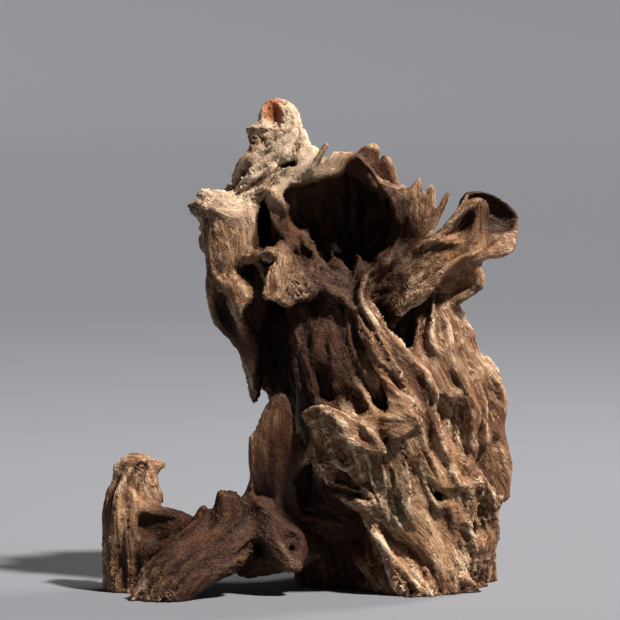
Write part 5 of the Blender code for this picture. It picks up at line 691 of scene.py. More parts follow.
# %% Root
# It leaves the trunk low on the left and swings forward to its own foot.
add_limbs(0.75, [
    [(16, 0, 30, 12, 12), (2, -4, 32, 10, 10), (-10, -10, 33, 9, 9), (-22, -16, 32, 9, 8)],
    ([(-20, -18, 32, 9, 7), (-31, -24, 29, 10, 7), (-42, -29, 23, 11, 8), (-53, -34, 14, 12, 8),
      (-61, -37, 5, 12, 9), (-64, -38, -12, 13, 9)], (0.35, -1, 0.2)),
    ([(-76, -37, -8, 2.4, 6), (-74, -38, 6, 2.2, 5), (-69, -38, 15, 2, 5), (-60, -36, 24, 2, 5),
      (-51, -32, 31.6, 2.2, 5)], (-0.5, -1, 0)),
    [(-51, -31, 29, 3, 5), (-48.6, -31, 35, 2.2, 4), (-46.6, -31, 39.4, 1.6, 3)],
    [(-42.6, -28, 27, 5, 6), (-39.4, -28, 38, 2.8, 5), (-39.4, -28, 45.4, 2, 4)],
    [(-37, -26, 28, 5, 6), (-36, -27, 38, 3.4, 5), (-35.4, -27, 44.4, 2.2, 4)],
    [(-33, -24, 30, 4, 5), (-32.4, -26, 39, 2.2, 4), (-32, -26, 44.4, 1.3, 3)],
    [(-60, -40, -2, 5, 5), (-50, -37, 6, 4.4, 5), (-41, -34, 11, 4, 5), (-32, -30, 15, 4, 5)],
    [(-47, -36, 17, 1.3, 3), (-41, -36, 15.4, 1.4, 3), (-34, -34, 15, 1.3, 3)],
    [(-48, -37, 12.6, 1.3, 3), (-41, -36, 11, 1.4, 3), (-35, -34, 11, 1.2, 3)],
    [(-48, -35, 23, 1.6, 3), (-40, -34, 21, 1.6, 3), (-33, -32, 21.6, 1.6, 3), (-27, -27, 26, 1.6, 3)],
    [(-66, -44, -6, 1.6, 3), (-62, -43, 6, 1.6, 3), (-55, -41, 15, 1.5, 3), (-48, -37, 23, 1.4, 3)],
    [(-57, -42, -4, 1.5, 3), (-54, -41, 4, 1.5, 3), (-50, -39, 10, 1.4, 3)],
])

# %% Knuckle
# Root and slab meet here, with a jaw that hangs clear of the floor.
add_limbs(0.8, [
    [(-30, -19, 40.6, 2, 4), (-26, -22, 39.6, 2.6, 5), (-21.6, -24, 39.6, 2.4, 4.4),
     (-17, -26, 35, 2.2, 4)],
    ([(-22, -24, 37, 3, 5), (-19, -26, 30, 3.2, 5), (-15.6, -28, 24, 3.2, 4.4), (-11, -30, 18, 3, 4),
      (-6.6, -30, 13.6, 2.6, 3.4)], (-0.2, -1, 0)),
    [(-22.6, -27, 30, 0.9, 2.4), (-20, -29, 24, 1, 2.4), (-15.6, -31, 19, 1.1, 2.4),
     (-11, -32, 15, 1.1, 2.4)],
    [(-17.4, -29, 32, 0.8, 2.2), (-14.4, -31, 26, 0.9, 2.2), (-10.4, -32, 20, 0.9, 2.2)],
    [(-15, -27, 34, 1.2, 3), (-12, -26, 29.6, 1.4, 3), (-7, -25, 28.6, 1.4, 3), (-4.4, -25, 24, 1.5, 3),
     (-4.6, -27, 18, 1.6, 3), (-4.6, -29, 13.6, 1.6, 3)],
    [(-28, -23, 34, 2.4, 4), (-26.6, -25, 28, 2, 3.6), (-27.4, -25, 22, 1.6, 3)],
    [(-25, -26, 19, 1.2, 3), (-19, -29, 15.8, 1.5, 3), (-12, -30, 12.8, 1.8, 3), (-6, -30, 12.4, 1.8, 3)],
    ([(-30, -16, 14, 4, 8), (-22, -18, 15, 7, 8), (-12, -19, 16, 7, 7), (-2, -14, 18, 8, 8)], UP),
    [(-11, -18, 34, 5, 6), (-8, -20, 27, 5, 6), (-6, -22, 19, 4.4, 6)],
    [(-24, -12, 28, 8, 7), (-16, -14, 22, 9, 7), (-6, -14, 22, 8, 7)],
    [(-2, -8, 30, 6, 8), (1, -4, 20, 6, 8), (4, 0, 10, 6, 9), (6, 2, -12, 6, 10)],
])

# %% Post
# An upright stub with a club head, and the web that joins it to the root.
add_limbs(0.7, [
    [(-82, -10, -12, 8, 9), (-82.6, -10, 12, 8, 9), (-83, -9, 30, 7.6, 8), (-82, -8, 42, 7.4, 7)],
    [(-79, -17, -12, 2, 4), (-79, -18, 12, 2, 4), (-79, -17, 28, 2, 4), (-77.4, -15, 39, 1.8, 3.4)],
    [(-85, -17, -8, 1.4, 3), (-85.4, -17.6, 14, 1.3, 3), (-85, -17, 32, 1.3, 3), (-83, -15, 44, 1.3, 3)],
    [(-88.4, -9, -12, 2.4, 6), (-89, -9, 15, 2, 6), (-88.8, -9, 34, 2, 5), (-87, -8, 42, 2.4, 5)],
    [(-83, -8, 43, 4.4, 6.6), (-80.4, -7, 50, 5.6, 6.6), (-78.4, -6, 55, 5.6, 5.4)],
    [(-72, -8, 40, 6, 5), (-72.6, -8, 48, 6, 5), (-73.4, -7, 54.6, 5.4, 4.6)],
    [(-84.6, -8, 53.6, 1.6, 4), (-80, -9, 57.6, 1.8, 4), (-74.6, -9, 58.6, 1.8, 4),
     (-70, -8, 56.6, 1.6, 3.4)],
    [(-72, -7, 53, 4, 4), (-68, -7, 54.6, 2.8, 3), (-65, -7, 55.6, 1.8, 2)],
    [(-68, -8, 49, 1.4, 3), (-67.4, -8, 44, 1.4, 3), (-65.4, -9, 40, 1.4, 3)],
    [(-81, -13, 47, 1.2, 3), (-77, -14, 42, 1.3, 3), (-73, -14, 38.6, 1.3, 3), (-68, -15, 37, 1.2, 3)],
    ([(-76, -10, 26, 12, 5), (-68, -12, 27, 11, 5), (-59, -17, 27, 9, 5), (-50, -24, 26, 8, 5),
      (-42, -26, 26, 6, 5)], (-0.2, -1, 0)),
    ([(-75, -14, -12, 8, 5), (-73, -16, 8, 8, 5), (-70, -18, 20, 8, 5)], (-0.4, -1, 0)),
    [(-62, -22, 10, 8, 6), (-58, -24, 20, 8, 6)],
    [(-76, -14, 38, 1.8, 3), (-71, -16, 36.6, 1.8, 3), (-64, -17, 36.6, 1.6, 3), (-57, -19, 35, 1.5, 3),
     (-51, -23, 33, 1.5, 3)],
])

# %% [markdown]
# ## The back
# The photograph doesn't show the back, so it is made as the same wood would go on: strands that wind
# round it with the slope of those in front. They repeat by a rule, with a seeded draw so that no two
# are alike.

# %% Round the back
SPIRAL = 0.27               # degrees the grain of the back winds round for each mm of height


def on_back(turn, height, out=0.0):
    """A place on the hidden side. turn goes from 0 on the right over 90 at the back to 180 on the left."""
    levels = (0, 60, 110, 150, 186)
    middle_x = np.interp(height, levels, (40, 42, 31, 11, 6))
    middle_y = np.interp(height, levels, (12, 11, 14, 18, 12))
    wide = np.interp(height, levels, (33, 35, 36, 37, 24)) + out
    deep = np.interp(height, levels, (35, 31, 29, 27, 13)) + out
    angle = math.radians(turn)
    return middle_x + wide * math.cos(angle), middle_y + deep * math.sin(angle), height


print("the middle of the back, 100 mm up:", np.round(on_back(90, 100)), "mm")

# %% Strands of the back
SOLE_DROP = 12.0            # mm, how far the feet are drawn below the floor before they are sawn off
BACK_SEED = 5
STOREYS = (                 # lowest and highest mm, how many strands, first and last degrees round the back
    (-SOLE_DROP, 84, 11, -14, 205),
    (48, 140, 10, -8, 190),
    (104, 182, 9, 0, 190),
)


def back_strands(draw):
    """Strands that wind up the back like the grain of the front, in storeys that overlap like shingles."""
    strands = []
    for low, high, count, first, last in STOREYS:
        for start in np.linspace(first, last, count):
            top = high + draw.uniform(-14, 8)
            bottom = low if low < 0 else low + draw.uniform(-16, 16)
            heights = np.linspace(bottom, top, 6)
            turns = start - SPIRAL * (heights - low) + draw.uniform(-5, 5, 6)
            outs = np.array([0.5, 1.5, 2, 2, 0.5, -3]) + draw.uniform(-2.2, 2.2, 6)
            widths = np.array([5, 6.5, 6, 6, 4.5, 2]) * draw.uniform(0.7, 1.25, 6)
            rows = [(*on_back(turn, height, out), width, 0.5 * width + 3)
                    for turn, height, out, width in zip(turns, heights, outs, widths)]
            angle = math.radians(turns[2] + draw.uniform(-25, 25))
            strands.append((rows, (math.cos(angle), math.sin(angle), 0)))
    return strands


draw = np.random.default_rng(BACK_SEED)
add_limbs(1.1, back_strands(draw))

# %% Buttress root and broken stub
add_limbs(1.1, [
    ([(32, 30, 84, 5, 6), (30, 38, 62, 6, 7), (27, 45, 36, 7, 8), (22, 51, 12, 8, 8),
      (18, 53, -12, 9, 8)], (0.2, 1, 0)),
    ([(30, 42, 60, 1.6, 4), (28, 51, 36, 2, 4), (24, 57, 14, 2.2, 4), (20, 59, -12, 3, 4)], (0.2, 1, 0)),
    ([(24, 40, 48, 1.6, 4), (20, 46, 30, 2, 4), (14, 52, 12, 2.2, 4), (9, 54, -12, 3, 4)], (-0.3, 1, 0)),
    # the stub
    ([(14, 36, 108, 9, 8), (9, 44, 119, 7.4, 7), (5, 51, 128, 6, 6), (3, 54, 133, 5, 5)], (1, 0.4, 0)),
    ([(0, 38, 112, 1.6, 3), (0, 47, 124, 1.8, 3), (-2, 55, 136, 1.2, 2)], (0, 1, 0)),
    ([(13, 44, 112, 1.6, 3), (10, 52, 124, 1.8, 3), (8, 58, 134, 1.2, 2)], (0, 1, 0)),
    ([(4, 50, 126, 2.4, 3), (3, 56, 136, 1.6, 2), (2, 58, 141, 0.8, 1)], (0, 1, 0)),
])

# %% Crown
def crown(draw):
    """Strands that climb over the hood from behind and end as splinters along its edge."""
    strands = []
    for x in np.linspace(-24, 38, 9):
        lean = draw.uniform(-6, 6, 5)
        lift = 4 * math.cos((x - 8) / 22)
        rows = [
            (x * 1.05 + lean[0], 39, 138, 5, 5),
            (x + lean[1], 41, 153, 5, 5),
            (x * 0.95 + lean[2], 34, 167 + lift, 4.5, 5),
            (x * 0.85 + 1 + 0.5 * lean[3], 22, 177 + lift, 3.6, 4),
            (x * 0.8 + 2 + 0.3 * lean[4], 10, 182 + 1.4 * lift, 2.4, 3),
        ]
        strands.append((rows, (0, 1, 0.6)))
    return strands


add_limbs(1.1, crown(draw))

# %% [markdown]
# ## What has rotted away
# Rot and water take the soft wood out of the middle: the bowl, the cleft, the long furrows and the
# small holes. Each is drawn as a limb of nothing. One Boolean with all of them takes them out of the
# fused wood, where a cut for each would take far longer.

# %% The bowl's hollow
# Its mouth and its pockets, then six flutes side by side in its back wall.
hollows = [
    ([(18, -44, 167, 18.6, 17), (18, -18, 167, 18.6, 17), (18, -11, 167, 15, 13)], UP),
    ([(17, -44, 154, 15, 8.6), (17, -20, 154.6, 13, 7.6), (17, -10, 158, 9, 6)], UP),
    ([(-6, -40, 165, 5, 10), (-6, -12, 165, 5, 9), (-5, -5, 165, 4, 7)], UP),
    ([(-22, -36, 162, 3, 12), (-21, -12, 162, 3.4, 11), (-18, -2, 162, 3, 8)], UP),
    ([(1, -40, 164, 6, 13), (1, -12, 164, 6, 12)], UP),
    ([(30, -30, 160, 8, 11), (30, -16, 160, 7, 11)], UP),
    [(2, -4, 177, 1.6, 8), (3, -2, 167, 2.4, 9), (7, -3, 156, 2.2, 8), (12, -9, 147, 1.2, 6)],
    [(9, 0, 181, 1.6, 8), (9.6, 2, 169, 2.2, 10), (12, 0, 157, 2.2, 9), (15, -7, 147.6, 1.2, 6)],
    [(15, 1, 183, 1.6, 8), (15.6, 4, 171, 2.2, 11), (16.4, 1, 158, 2, 9), (17.4, -6, 148.6, 1.1, 6)],
    [(22, 1, 182, 1.8, 8), (22, 4, 171, 2.4, 11), (20.6, 1, 158, 2, 9), (19.6, -6, 148.6, 1.1, 6)],
    [(28.6, -2, 178, 1.6, 8), (28.4, 0, 168, 2.2, 10), (26, -2, 157, 2, 8), (22.6, -8, 149, 1.1, 6)],
    [(34, -6, 175, 1.4, 7), (34, -5, 165, 2, 8), (31.6, -6, 156, 1.8, 7), (27, -11, 148.6, 1.2, 6)],
]
print(len(hollows), "hollows")

# %% The cleft
# It parts the left skin and the slab from the column.
hollows += [
    [(-15, -24, 124, 7, 9), (-16, -8, 110, 7, 16), (-16, -4, 94, 7, 15), (-15, -6, 76, 6, 14)],
]
print(len(hollows), "hollows")

# %% Furrows of the front
# The long ones between planks, and the shade under the shelf.
hollows += [
    [(21, -30, 39, 1.4, 3), (30, -31, 31, 2.4, 5), (40, -31, 23.6, 3, 7), (47, -30, 16.6, 2.4, 6),
     (53, -28, 10, 1, 3)],
    [(52.6, -28, 106, 1, 4), (58, -29, 98, 2.2, 6), (63, -30, 90.6, 2.4, 6), (66.6, -29, 84, 1.8, 6),
     (67.4, -27, 77, 1, 4)],
    [(58, -28, 85, 2, 4), (61, -27, 77, 3.4, 5), (63.6, -26, 68, 3.4, 5), (65.6, -26, 61, 2, 4)],
    [(37, -31, 107, 1, 2.6), (42, -32, 102.6, 2, 4), (46, -31, 99.6, 1, 2.6)],
    [(51, -23, 122, 1, 3), (54.6, -26, 116.6, 2.6, 6), (57.6, -26, 113, 1.2, 3)],
    [(69.6, -20, 102, 0.8, 3), (73, -22, 94, 1.1, 4), (76.6, -20, 86, 1.4, 5), (77, -18, 76, 1.8, 5),
     (79, -16, 66, 2.6, 5), (79.6, -14, 54, 3, 4)],
    [(29, -16, 126, 2, 5), (35, -20, 120, 4, 7), (40, -22, 114, 3.4, 7), (41, -24, 109.6, 1.2, 4)],
    [(25, -42, 79, 1, 4), (30, -42, 73, 1.5, 6), (34, -39, 66, 1.6, 7), (34.2, -36, 58, 1.5, 6),
     (33.8, -33, 46, 1.1, 5), (33, -30, 41, 0.8, 3)],
    [(14, -44, 75, 0.8, 3), (18, -44, 72.4, 1.2, 4), (21, -43, 70.6, 0.8, 3)],
    [(1, -34, 74, 1.6, 3), (4, -37, 72, 3, 6), (9, -40, 68, 3, 7), (14, -42, 66.6, 1.8, 5)],
]
print(len(hollows), "hollows")

# %% Slots
# They cut through above the lip.
hollows += [
    [(20, -30, 97, 1.2, 4), (24.4, -34, 92, 2.8, 8), (29, -38, 85, 2.4, 7)],
    [(25, -30, 107, 1, 3), (31, -34, 100, 1.6, 6), (37.6, -37, 93, 1.9, 8), (43, -39, 87, 1.7, 6)],
    [(31, -31, 93.4, 0.7, 3), (34.4, -37, 88, 0.9, 5)],
]
print(len(hollows), "hollows")

# %% Holes
# The hollow over the base, knot holes, and creases in the shelf, arm and pinnacle.
hollows += [
    [(-6, -24, 50, 3, 6), (2, -27, 47.6, 4, 9), (12, -30, 46.4, 3, 9), (24, -33, 43, 1.4, 5)],
    ([(-24.4, -38, 20.6, 2.4, 4), (-23, -20, 21, 2.4, 4)], UP),
    ([(-9, -38, 20.8, 1.6, 1.9), (-8.6, -24, 20.8, 1.6, 1.9)], UP),
    ([(65, -24, 136, 4.6, 3.6), (64, -15, 136, 3.4, 3)], UP),
    [(57, -22, 157.6, 1, 4), (62, -22, 159.6, 2.6, 6), (66.6, -22, 164, 2, 6), (69, -22, 169, 1, 4)],
    ([(54, -34, 45, 2.4, 2.4), (55.6, -20, 44, 2.4, 2.4)], UP),
    [(9, -38, 84, 0.5, 3), (14.6, -42, 79, 1, 4), (18.6, -44, 74, 1.1, 5), (20.4, -43, 70, 0.7, 4)],
    [(3, -36, 79.6, 0.5, 3), (7, -40, 77, 0.9, 4), (12, -43, 73.6, 0.8, 4)],
    [(56.8, -33, 64, 0.8, 3), (56.8, -34, 58, 1.8, 7), (58.4, -33, 52, 1.2, 5)],
    [(-34, -24, 142.6, 1.6, 4), (-28, -27, 142.6, 2.2, 6), (-22, -27, 140, 2.4, 6)],
    [(53, -26, 151.4, 0.8, 3), (58, -27, 151.6, 1.4, 5), (64, -26, 151.8, 1, 4)],
    ([(36, -28, 129, 5, 3), (44, -28, 137, 5.4, 3), (54, -26, 146, 3.4, 2)], (0.25, -1, 0.1)),
    [(-16.8, -7, 213.4, 2.8, 5), (-16.4, -8, 210.4, 4, 6), (-15.4, -9, 206.8, 2.6, 5)],
    [(-29.4, -8, 182, 0.5, 3), (-26.6, -11, 187.6, 0.9, 4), (-21, -12, 190.6, 0.6, 3)],
    [(-26, -12, 178, 0.5, 3), (-20.6, -14, 184.6, 0.9, 4), (-14.6, -15, 189, 0.6, 3)],
    [(-26, -10, 199.6, 1, 3), (-20, -11, 199, 1.3, 4), (-13.6, -10, 200.2, 0.7, 3)],
    [(-17, -13, 190, 0.7, 3), (-11, -13, 188.6, 1.3, 4), (-7, -12, 189, 1, 4)],
    [(-6, -11, 194, 0.8, 3), (-5, -11, 190, 1.4, 4), (-3.4, -11, 187, 1, 3)],
    [(3.4, -17, 186.4, 0.7, 4), (5.4, -17, 190.4, 1.1, 6), (8.6, -16, 196, 1.3, 6)],
]
print(len(hollows), "hollows")

# %% Gaps between the fingers
# They part the fan, the rim's chips and the arm.
hollows += [
    [(50, -14, 187, 2.4, 9), (49.2, -14, 180, 1.3, 8), (48, -15, 172, 0.8, 5), (46, -16, 165, 0.6, 4)],
    [(57.6, -13, 184, 2.4, 9), (55.6, -13, 176.6, 1.5, 8), (53, -14, 168.6, 0.9, 6),
     (50, -15, 162, 0.6, 4)],
    [(41.4, -12, 186, 2.4, 7), (42, -12, 181, 1.6, 6), (42.4, -12, 177.6, 0.8, 5)],
    [(30.4, -4, 196, 1.4, 7), (29.8, -4, 190.6, 1.1, 6), (29.2, -4, 186, 0.7, 5)],
    [(64, -12, 176, 3, 10), (59, -12, 166.6, 2.2, 10), (54, -12, 160, 1.3, 9), (50, -12, 155.6, 0.7, 8)],
]
print(len(hollows), "hollows")

# %% Furrows of the back
KNOT_HOLES = ((66, 96, 5, 11), (128, 44, 6, 14), (24, 134, 4, 8))       # degrees, mm up, half width, depth
HOLE_SHAPE = ((6, -17, 0.25), (2, -8, 0.8), (0, 0, 1), (-3, 8, 0.7), (-6, 16, 0.25))    # an eye, aslant


def back_furrows(draw):
    """Furrows that rot has opened between the strands of the back, and three deep knot holes."""
    furrows = []
    for start in np.linspace(-4, 196, 15):
        low = draw.uniform(8, 118)
        heights = low + np.linspace(0, draw.uniform(26, 54), 5)
        turns = start - SPIRAL * (heights - low) + draw.uniform(-3, 3, 5)
        widths = np.array([0.8, 1.8, 2.3, 1.8, 0.8]) * draw.uniform(0.7, 1.2)
        rows = [
            (*on_back(turn, height, 4), width, 5 + 2 * width)
            for turn, height, width in zip(turns, heights, widths)
        ]
        angle = math.radians(turns[2])
        furrows.append((rows, (math.cos(angle), math.sin(angle), 0)))
    for turn, height, width, reach in KNOT_HOLES:
        rows = [
            (*on_back(turn + lean, height + rise, 4), part * width, reach) for lean, rise, part in HOLE_SHAPE
        ]
        angle = math.radians(turn)
        furrows.append((rows, (math.cos(angle), math.sin(angle), 0)))
    return furrows


hollows += back_furrows(np.random.default_rng(BACK_SEED))
print(len(hollows), "hollows")

# %% [markdown]
# ## One skin
# The limbs overlap freely. A voxel Remesh walks round all of them at once and gives one closed skin,
# which a Boolean union of so many shells would do far more slowly. The hollows are fused the same way
# and cut out. A second Remesh evens the cut edges, and then creases are filled from one side only, as
# wood closes over a fork.

# %% Meshes as arrays
def arrays(mesh):
    """Vertex places and edge ends of a mesh as arrays."""
    places = np.empty(len(mesh.vertices) * 3)
    mesh.vertices.foreach_get("co", places)
    ends = np.empty(len(mesh.edges) * 2, np.int64)
    mesh.edges.foreach_get("vertices", ends)
    return places.reshape(-1, 3), ends.reshape(-1, 2)


def normals_of(mesh):
    normals = np.empty(len(mesh.vertices) * 3)
    mesh.vertices.foreach_get("normal", normals)
    return normals.reshape(-1, 3)


def mean_of_neighbours(values, ends):
    """Mean of each vertex's neighbours, for rows of numbers on the vertices."""
    both = np.concatenate([ends, ends[:, ::-1]])
    count = np.bincount(both[:, 0], minlength=len(values))
    total = [np.bincount(both[:, 0], values[both[:, 1], k], len(values)) for k in range(values.shape[1])]
    return np.stack(total, 1) / np.maximum(count, 1)[:, None]


def unit(vectors):
    return vectors / np.maximum(np.linalg.norm(vectors, axis=1, keepdims=True), 1e-9)


print("a mesh can be read as arrays")

# %% Fuse, close and carve
FINE_VOXEL = 1.0            # mm
GAP_REACH = 1.3             # mm, gaps narrower than twice this are closed


def plain_mesh(made):
    """Gives the object its evaluated mesh, and no modifiers."""
    graph = bpy.context.evaluated_depsgraph_get()
    mesh = bpy.data.meshes.new_from_object(made.evaluated_get(graph))
    made.modifiers.clear()
    old = made.data
    made.data = mesh
    bpy.data.meshes.remove(old)


def fuse(made):
    remesh = made.modifiers.new("fuse", "REMESH")
    remesh.mode = "VOXEL"
    remesh.voxel_size = FINE_VOXEL * MM
    plain_mesh(made)


def close_gaps(made):
    """Swells the skin, fuses it again and shrinks it back, which fills narrow gaps and leaves the crests."""
    for reach in (GAP_REACH, -GAP_REACH):
        places, _ = arrays(made.data)
        places += normals_of(made.data) * (reach * MM)
        made.data.vertices.foreach_set("co", places.ravel())
        made.data.update()
        fuse(made)


def carve(made, cutter):
    cut = made.modifiers.new("carve", "BOOLEAN")
    cut.operation = "DIFFERENCE"
    cut.solver = "EXACT"
    cut.object = cutter
    plain_mesh(made)
    bpy.data.objects.remove(cutter)


wood = shells(WOOD + "_skin", limbs)
fuse(wood)
close_gaps(wood)
print("one skin of", len(wood.data.vertices), "vertices")

# %% Cut out the hollows and saw the feet
SAW_BLOCK = 0.4             # m, side of the block that saws the feet flat

voids = shells("voids", hollows)
fuse(voids)
carve(wood, voids)
bpy.ops.mesh.primitive_cube_add(size=SAW_BLOCK, location=(0, 0, -SAW_BLOCK / 2))
carve(wood, bpy.context.object)
fuse(wood)
print("carved, with", len(wood.data.vertices), "vertices")

# %% Fill the forks and drop the crumbs
CREASE_ROUNDS = 2
CREASE_FILL = 0.6           # how much of the way to its surroundings a crease rises in a round
CREST_LOSS = 0.03           # how much of the way a crest sinks
SLIDE = 0.2                 # how much of the way a vertex slides to even out the mesh


def fill_creases(mesh, rounds):
    """Lifts hollow creases to the level of what is round them. Crests stay sharp."""
    places, ends = arrays(mesh)
    for _ in range(rounds):
        normals = normals_of(mesh)
        pull = mean_of_neighbours(places, ends) - places
        rise = (pull * normals).sum(1, keepdims=True)
        slide = pull - normals * rise
        places += normals * np.where(rise > 0, CREASE_FILL, CREST_LOSS) * rise + slide * SLIDE
        mesh.vertices.foreach_set("co", places.ravel())
        mesh.update()


def main_body(made):
    """Drops crumbs and sealed bubbles, so that one closed body is left."""
    shape = bmesh.new()
    shape.from_mesh(made.data)
    unseen = set(shape.verts)
    bodies = []
    while unseen:
        body = {unseen.pop()}
        rim = list(body)
        while rim:
            near = {link.other_vert(vertex) for vertex in rim for link in vertex.link_edges}
            rim = list(near - body)
            body |= near
        unseen -= body
        bodies.append(body)
    bodies.sort(key=len)
    for body in bodies[:-1]:
        bmesh.ops.delete(shape, geom=list(body), context="VERTS")
    shape.to_mesh(made.data)
    shape.free()


fill_creases(wood.data, CREASE_ROUNDS)
main_body(wood)
print("one body of", len(wood.data.vertices), "vertices")

# %% [markdown]
# ## Which way the grain runs
# On real wood the fibres follow the limb they grew in and flow together where limbs join. Every limb
# here knows its own direction, so each point of the skin can ask the limbs near it. Directions have no
# front or back, so what is averaged is the square of each one, and the answer is the strongest axis of
# that sum.

# %% What each limb knows
ORDER = ((0, 3, 4), (3, 1, 5), (4, 5, 2))   # where a squared direction's six numbers stand in a 3 by 3
RADIUS, ROUGHNESS = 6, 7                    # the columns after those six


def unpacked(squares):
    """Six numbers for each point back into a symmetric 3 by 3."""
    return np.stack([np.stack([squares[:, k] for k in row], 1) for row in ORDER], 1)


def limb_facts():
    """Places along all limbs, with the direction squared, the radius and the roughness there."""
    places, facts = [], []
    for (rows, _), rough in zip(map(faced, limbs), roughness_of_limbs):
        rows = smooth_rows(rows, RING_GAP)
        x, y, z = unit(np.gradient(rows[:, :3], axis=0)).T
        radius = np.sqrt(rows[:, 3] * rows[:, 4]) * MM
        places.append(rows[:, :3] * MM)
        facts.append(np.stack([x * x, y * y, z * z, x * y, x * z, y * z, radius, np.full(len(x), rough)], 1))
    return np.concatenate(places), np.concatenate(facts)


print("the limbs have", len(limb_facts()[0]), "places that know their direction")

# %% Ask the limbs
FIELD_GAP = 0.005           # m between two places where the limbs are asked
REACH = 0.0025              # m, how fast a limb's say fades with distance
NORMAL_ROUNDS = 3           # rounds of smoothing
FACT_ROUNDS = 8


def corners_of_cells(points, low, gap):
    """For each of a cell's eight corners: its index in the grid, and its share in the points."""
    cell = np.floor((points - low) / gap).astype(int)
    part = (points - low) / gap - cell
    for corner in np.ndindex(2, 2, 2):
        share = np.prod(np.where(corner, part, 1 - part), axis=1)
        yield tuple((cell + corner).T), share


def spread_over(points, gap, ask):
    """Asks a slow question only on a coarse grid near the points, and blends between its corners."""
    low = points.min(axis=0) - gap
    size = np.ceil((points.max(axis=0) - low) / gap).astype(int) + 2
    used = np.zeros(size, bool)
    for index, _ in corners_of_cells(points, low, gap):
        used[index] = True
    sites = np.argwhere(used)
    answers = ask(low + sites * gap)
    grid = np.zeros((*size, answers.shape[1]))
    grid[tuple(sites.T)] = answers
    return sum(share[:, None] * grid[index] for index, share in corners_of_cells(points, low, gap))


def ask_limbs(points, block=4000):
    """The facts of the limbs near each point, the nearest counting most. A block at a time saves memory."""
    places, facts = limb_facts()
    radius = facts[:, RADIUS]
    answers = []
    for start in range(0, len(points), block):
        part = points[start:start + block]
        squared = (part**2).sum(1)[:, None] + (places**2).sum(1) - 2 * part @ places.T
        nearness = (radius - np.sqrt(np.maximum(squared, 0))) / REACH
        weight = np.exp(nearness - nearness.max(axis=1, keepdims=True))
        answers.append(weight @ facts / weight.sum(axis=1, keepdims=True))
    return np.concatenate(answers)


skin, edge_ends = arrays(wood.data)
outward = normals_of(wood.data)
for _ in range(NORMAL_ROUNDS):
    outward = mean_of_neighbours(outward, edge_ends)
outward = unit(outward)
facts = spread_over(skin, FIELD_GAP, ask_limbs)
for _ in range(FACT_ROUNDS):
    facts = mean_of_neighbours(facts, edge_ends)
print("radius of the limbs from", np.round(facts[:, RADIUS].min() / MM, 1), "mm")

# %% Noise
SLOPES = 4096               # how many slopes the noise draws from, a power of two
NOISE_SHIFT = 17.3          # waves between one seed's noise and the next
NOISE_GAIN = 1.6            # brings the sum to about -1 to 1


def noise(points, wave, seed):
    """Smooth gradient noise, about -1 to 1, one bump about every wave. Three primes pick a cell's slope."""
    slopes = unit(np.random.default_rng(seed).normal(size=(SLOPES, 3)))
    total = 0
    place = points / wave + NOISE_SHIFT * seed
    part = place - np.floor(place)
    ease = part**3 * (part * (part * 6 - 15) + 10)
    cell = np.floor(place).astype(np.int64)
    for corner in np.ndindex(2, 2, 2):
        key = cell + corner
        hashed = (key[:, 0] * 73856093 ^ key[:, 1] * 19349663 ^ key[:, 2] * 83492791) & (SLOPES - 1)
        lean = (slopes[hashed] * (part - corner)).sum(1)
        total = total + np.prod(np.where(corner, ease, 1 - ease), axis=1) * lean
    return NOISE_GAIN * total


print("noise spreads by", round(noise(skin, 0.016, 9).std(), 2))

# %% Grain direction
LEAN = np.array((0.35, 0, 1))   # the way the whole piece leans
END_GRAIN = 0.15            # a limb that points this straight out of the skin shows its end
GRAIN_WANDER = 0.6          # radians at most that a streak strays from the grain
WANDER_WAVE = 0.020         # m

axes = np.linalg.eigh(unpacked(facts))[1][:, :, 2]
flat_axes = axes - outward * (axes * outward).sum(1, keepdims=True)
fallback = LEAN - outward * (outward @ LEAN)[:, None]
end_grain = np.linalg.norm(flat_axes, axis=1) < END_GRAIN
flat_axes[end_grain] = fallback[end_grain]
grain = unit(flat_axes)
grain *= np.where(grain @ LEAN < 0, -1, 1)[:, None]
wander = GRAIN_WANDER * noise(skin, WANDER_WAVE, 5)
wavy = unit(grain + np.cross(outward, grain) * wander[:, None])
print("end grain on", int(end_grain.sum()), "of", len(skin), "vertices")

# %% [markdown]
# ## Streaks along the grain
# Smooth noise averaged along a line becomes a streak along that line. Each vertex walks a few
# centimetres down the grain and up again, and adds up the noise it meets. Four sizes of noise give
# planks, strands, cords and fibres.

# %% Find a vertex
CELL = 0.0015               # m


class Nearby:
    """Finds a vertex near any point, from a grid of cells that each hold one vertex."""

    def __init__(self, points, spread=3):
        self.low = points.min(axis=0) - CELL * (spread + 2)
        self.size = np.ceil((points.max(axis=0) - self.low) / CELL).astype(int) + spread + 3
        self.grid = np.full(self.size, -1, np.int64)
        self.grid[self.cell(points)] = np.arange(len(points))
        for axis in [0, 1, 2] * spread:
            for way in (1, -1):
                shifted = np.roll(self.grid, way, axis)
                empty = (self.grid < 0) & (shifted >= 0)
                self.grid[empty] = shifted[empty]

    def cell(self, points):
        return tuple(np.clip(np.floor((points - self.low) / CELL).astype(int), 0, self.size - 1).T)

    def find(self, points, otherwise):
        found = self.grid[self.cell(points)]
        return np.where(found < 0, otherwise, found)


nearby = Nearby(skin)
print("a grid of", nearby.grid.size, "cells")

# %% Streaks
STEP = 0.0016               # m
STREAKS = ((0.0140, 24, 4), (0.0074, 20, 1), (0.0042, 13, 2), (0.0025, 9, 3))     # wave in m, steps, seed
PULL_BACK = 0.6             # how much of its drift off the skin a walker loses at each step


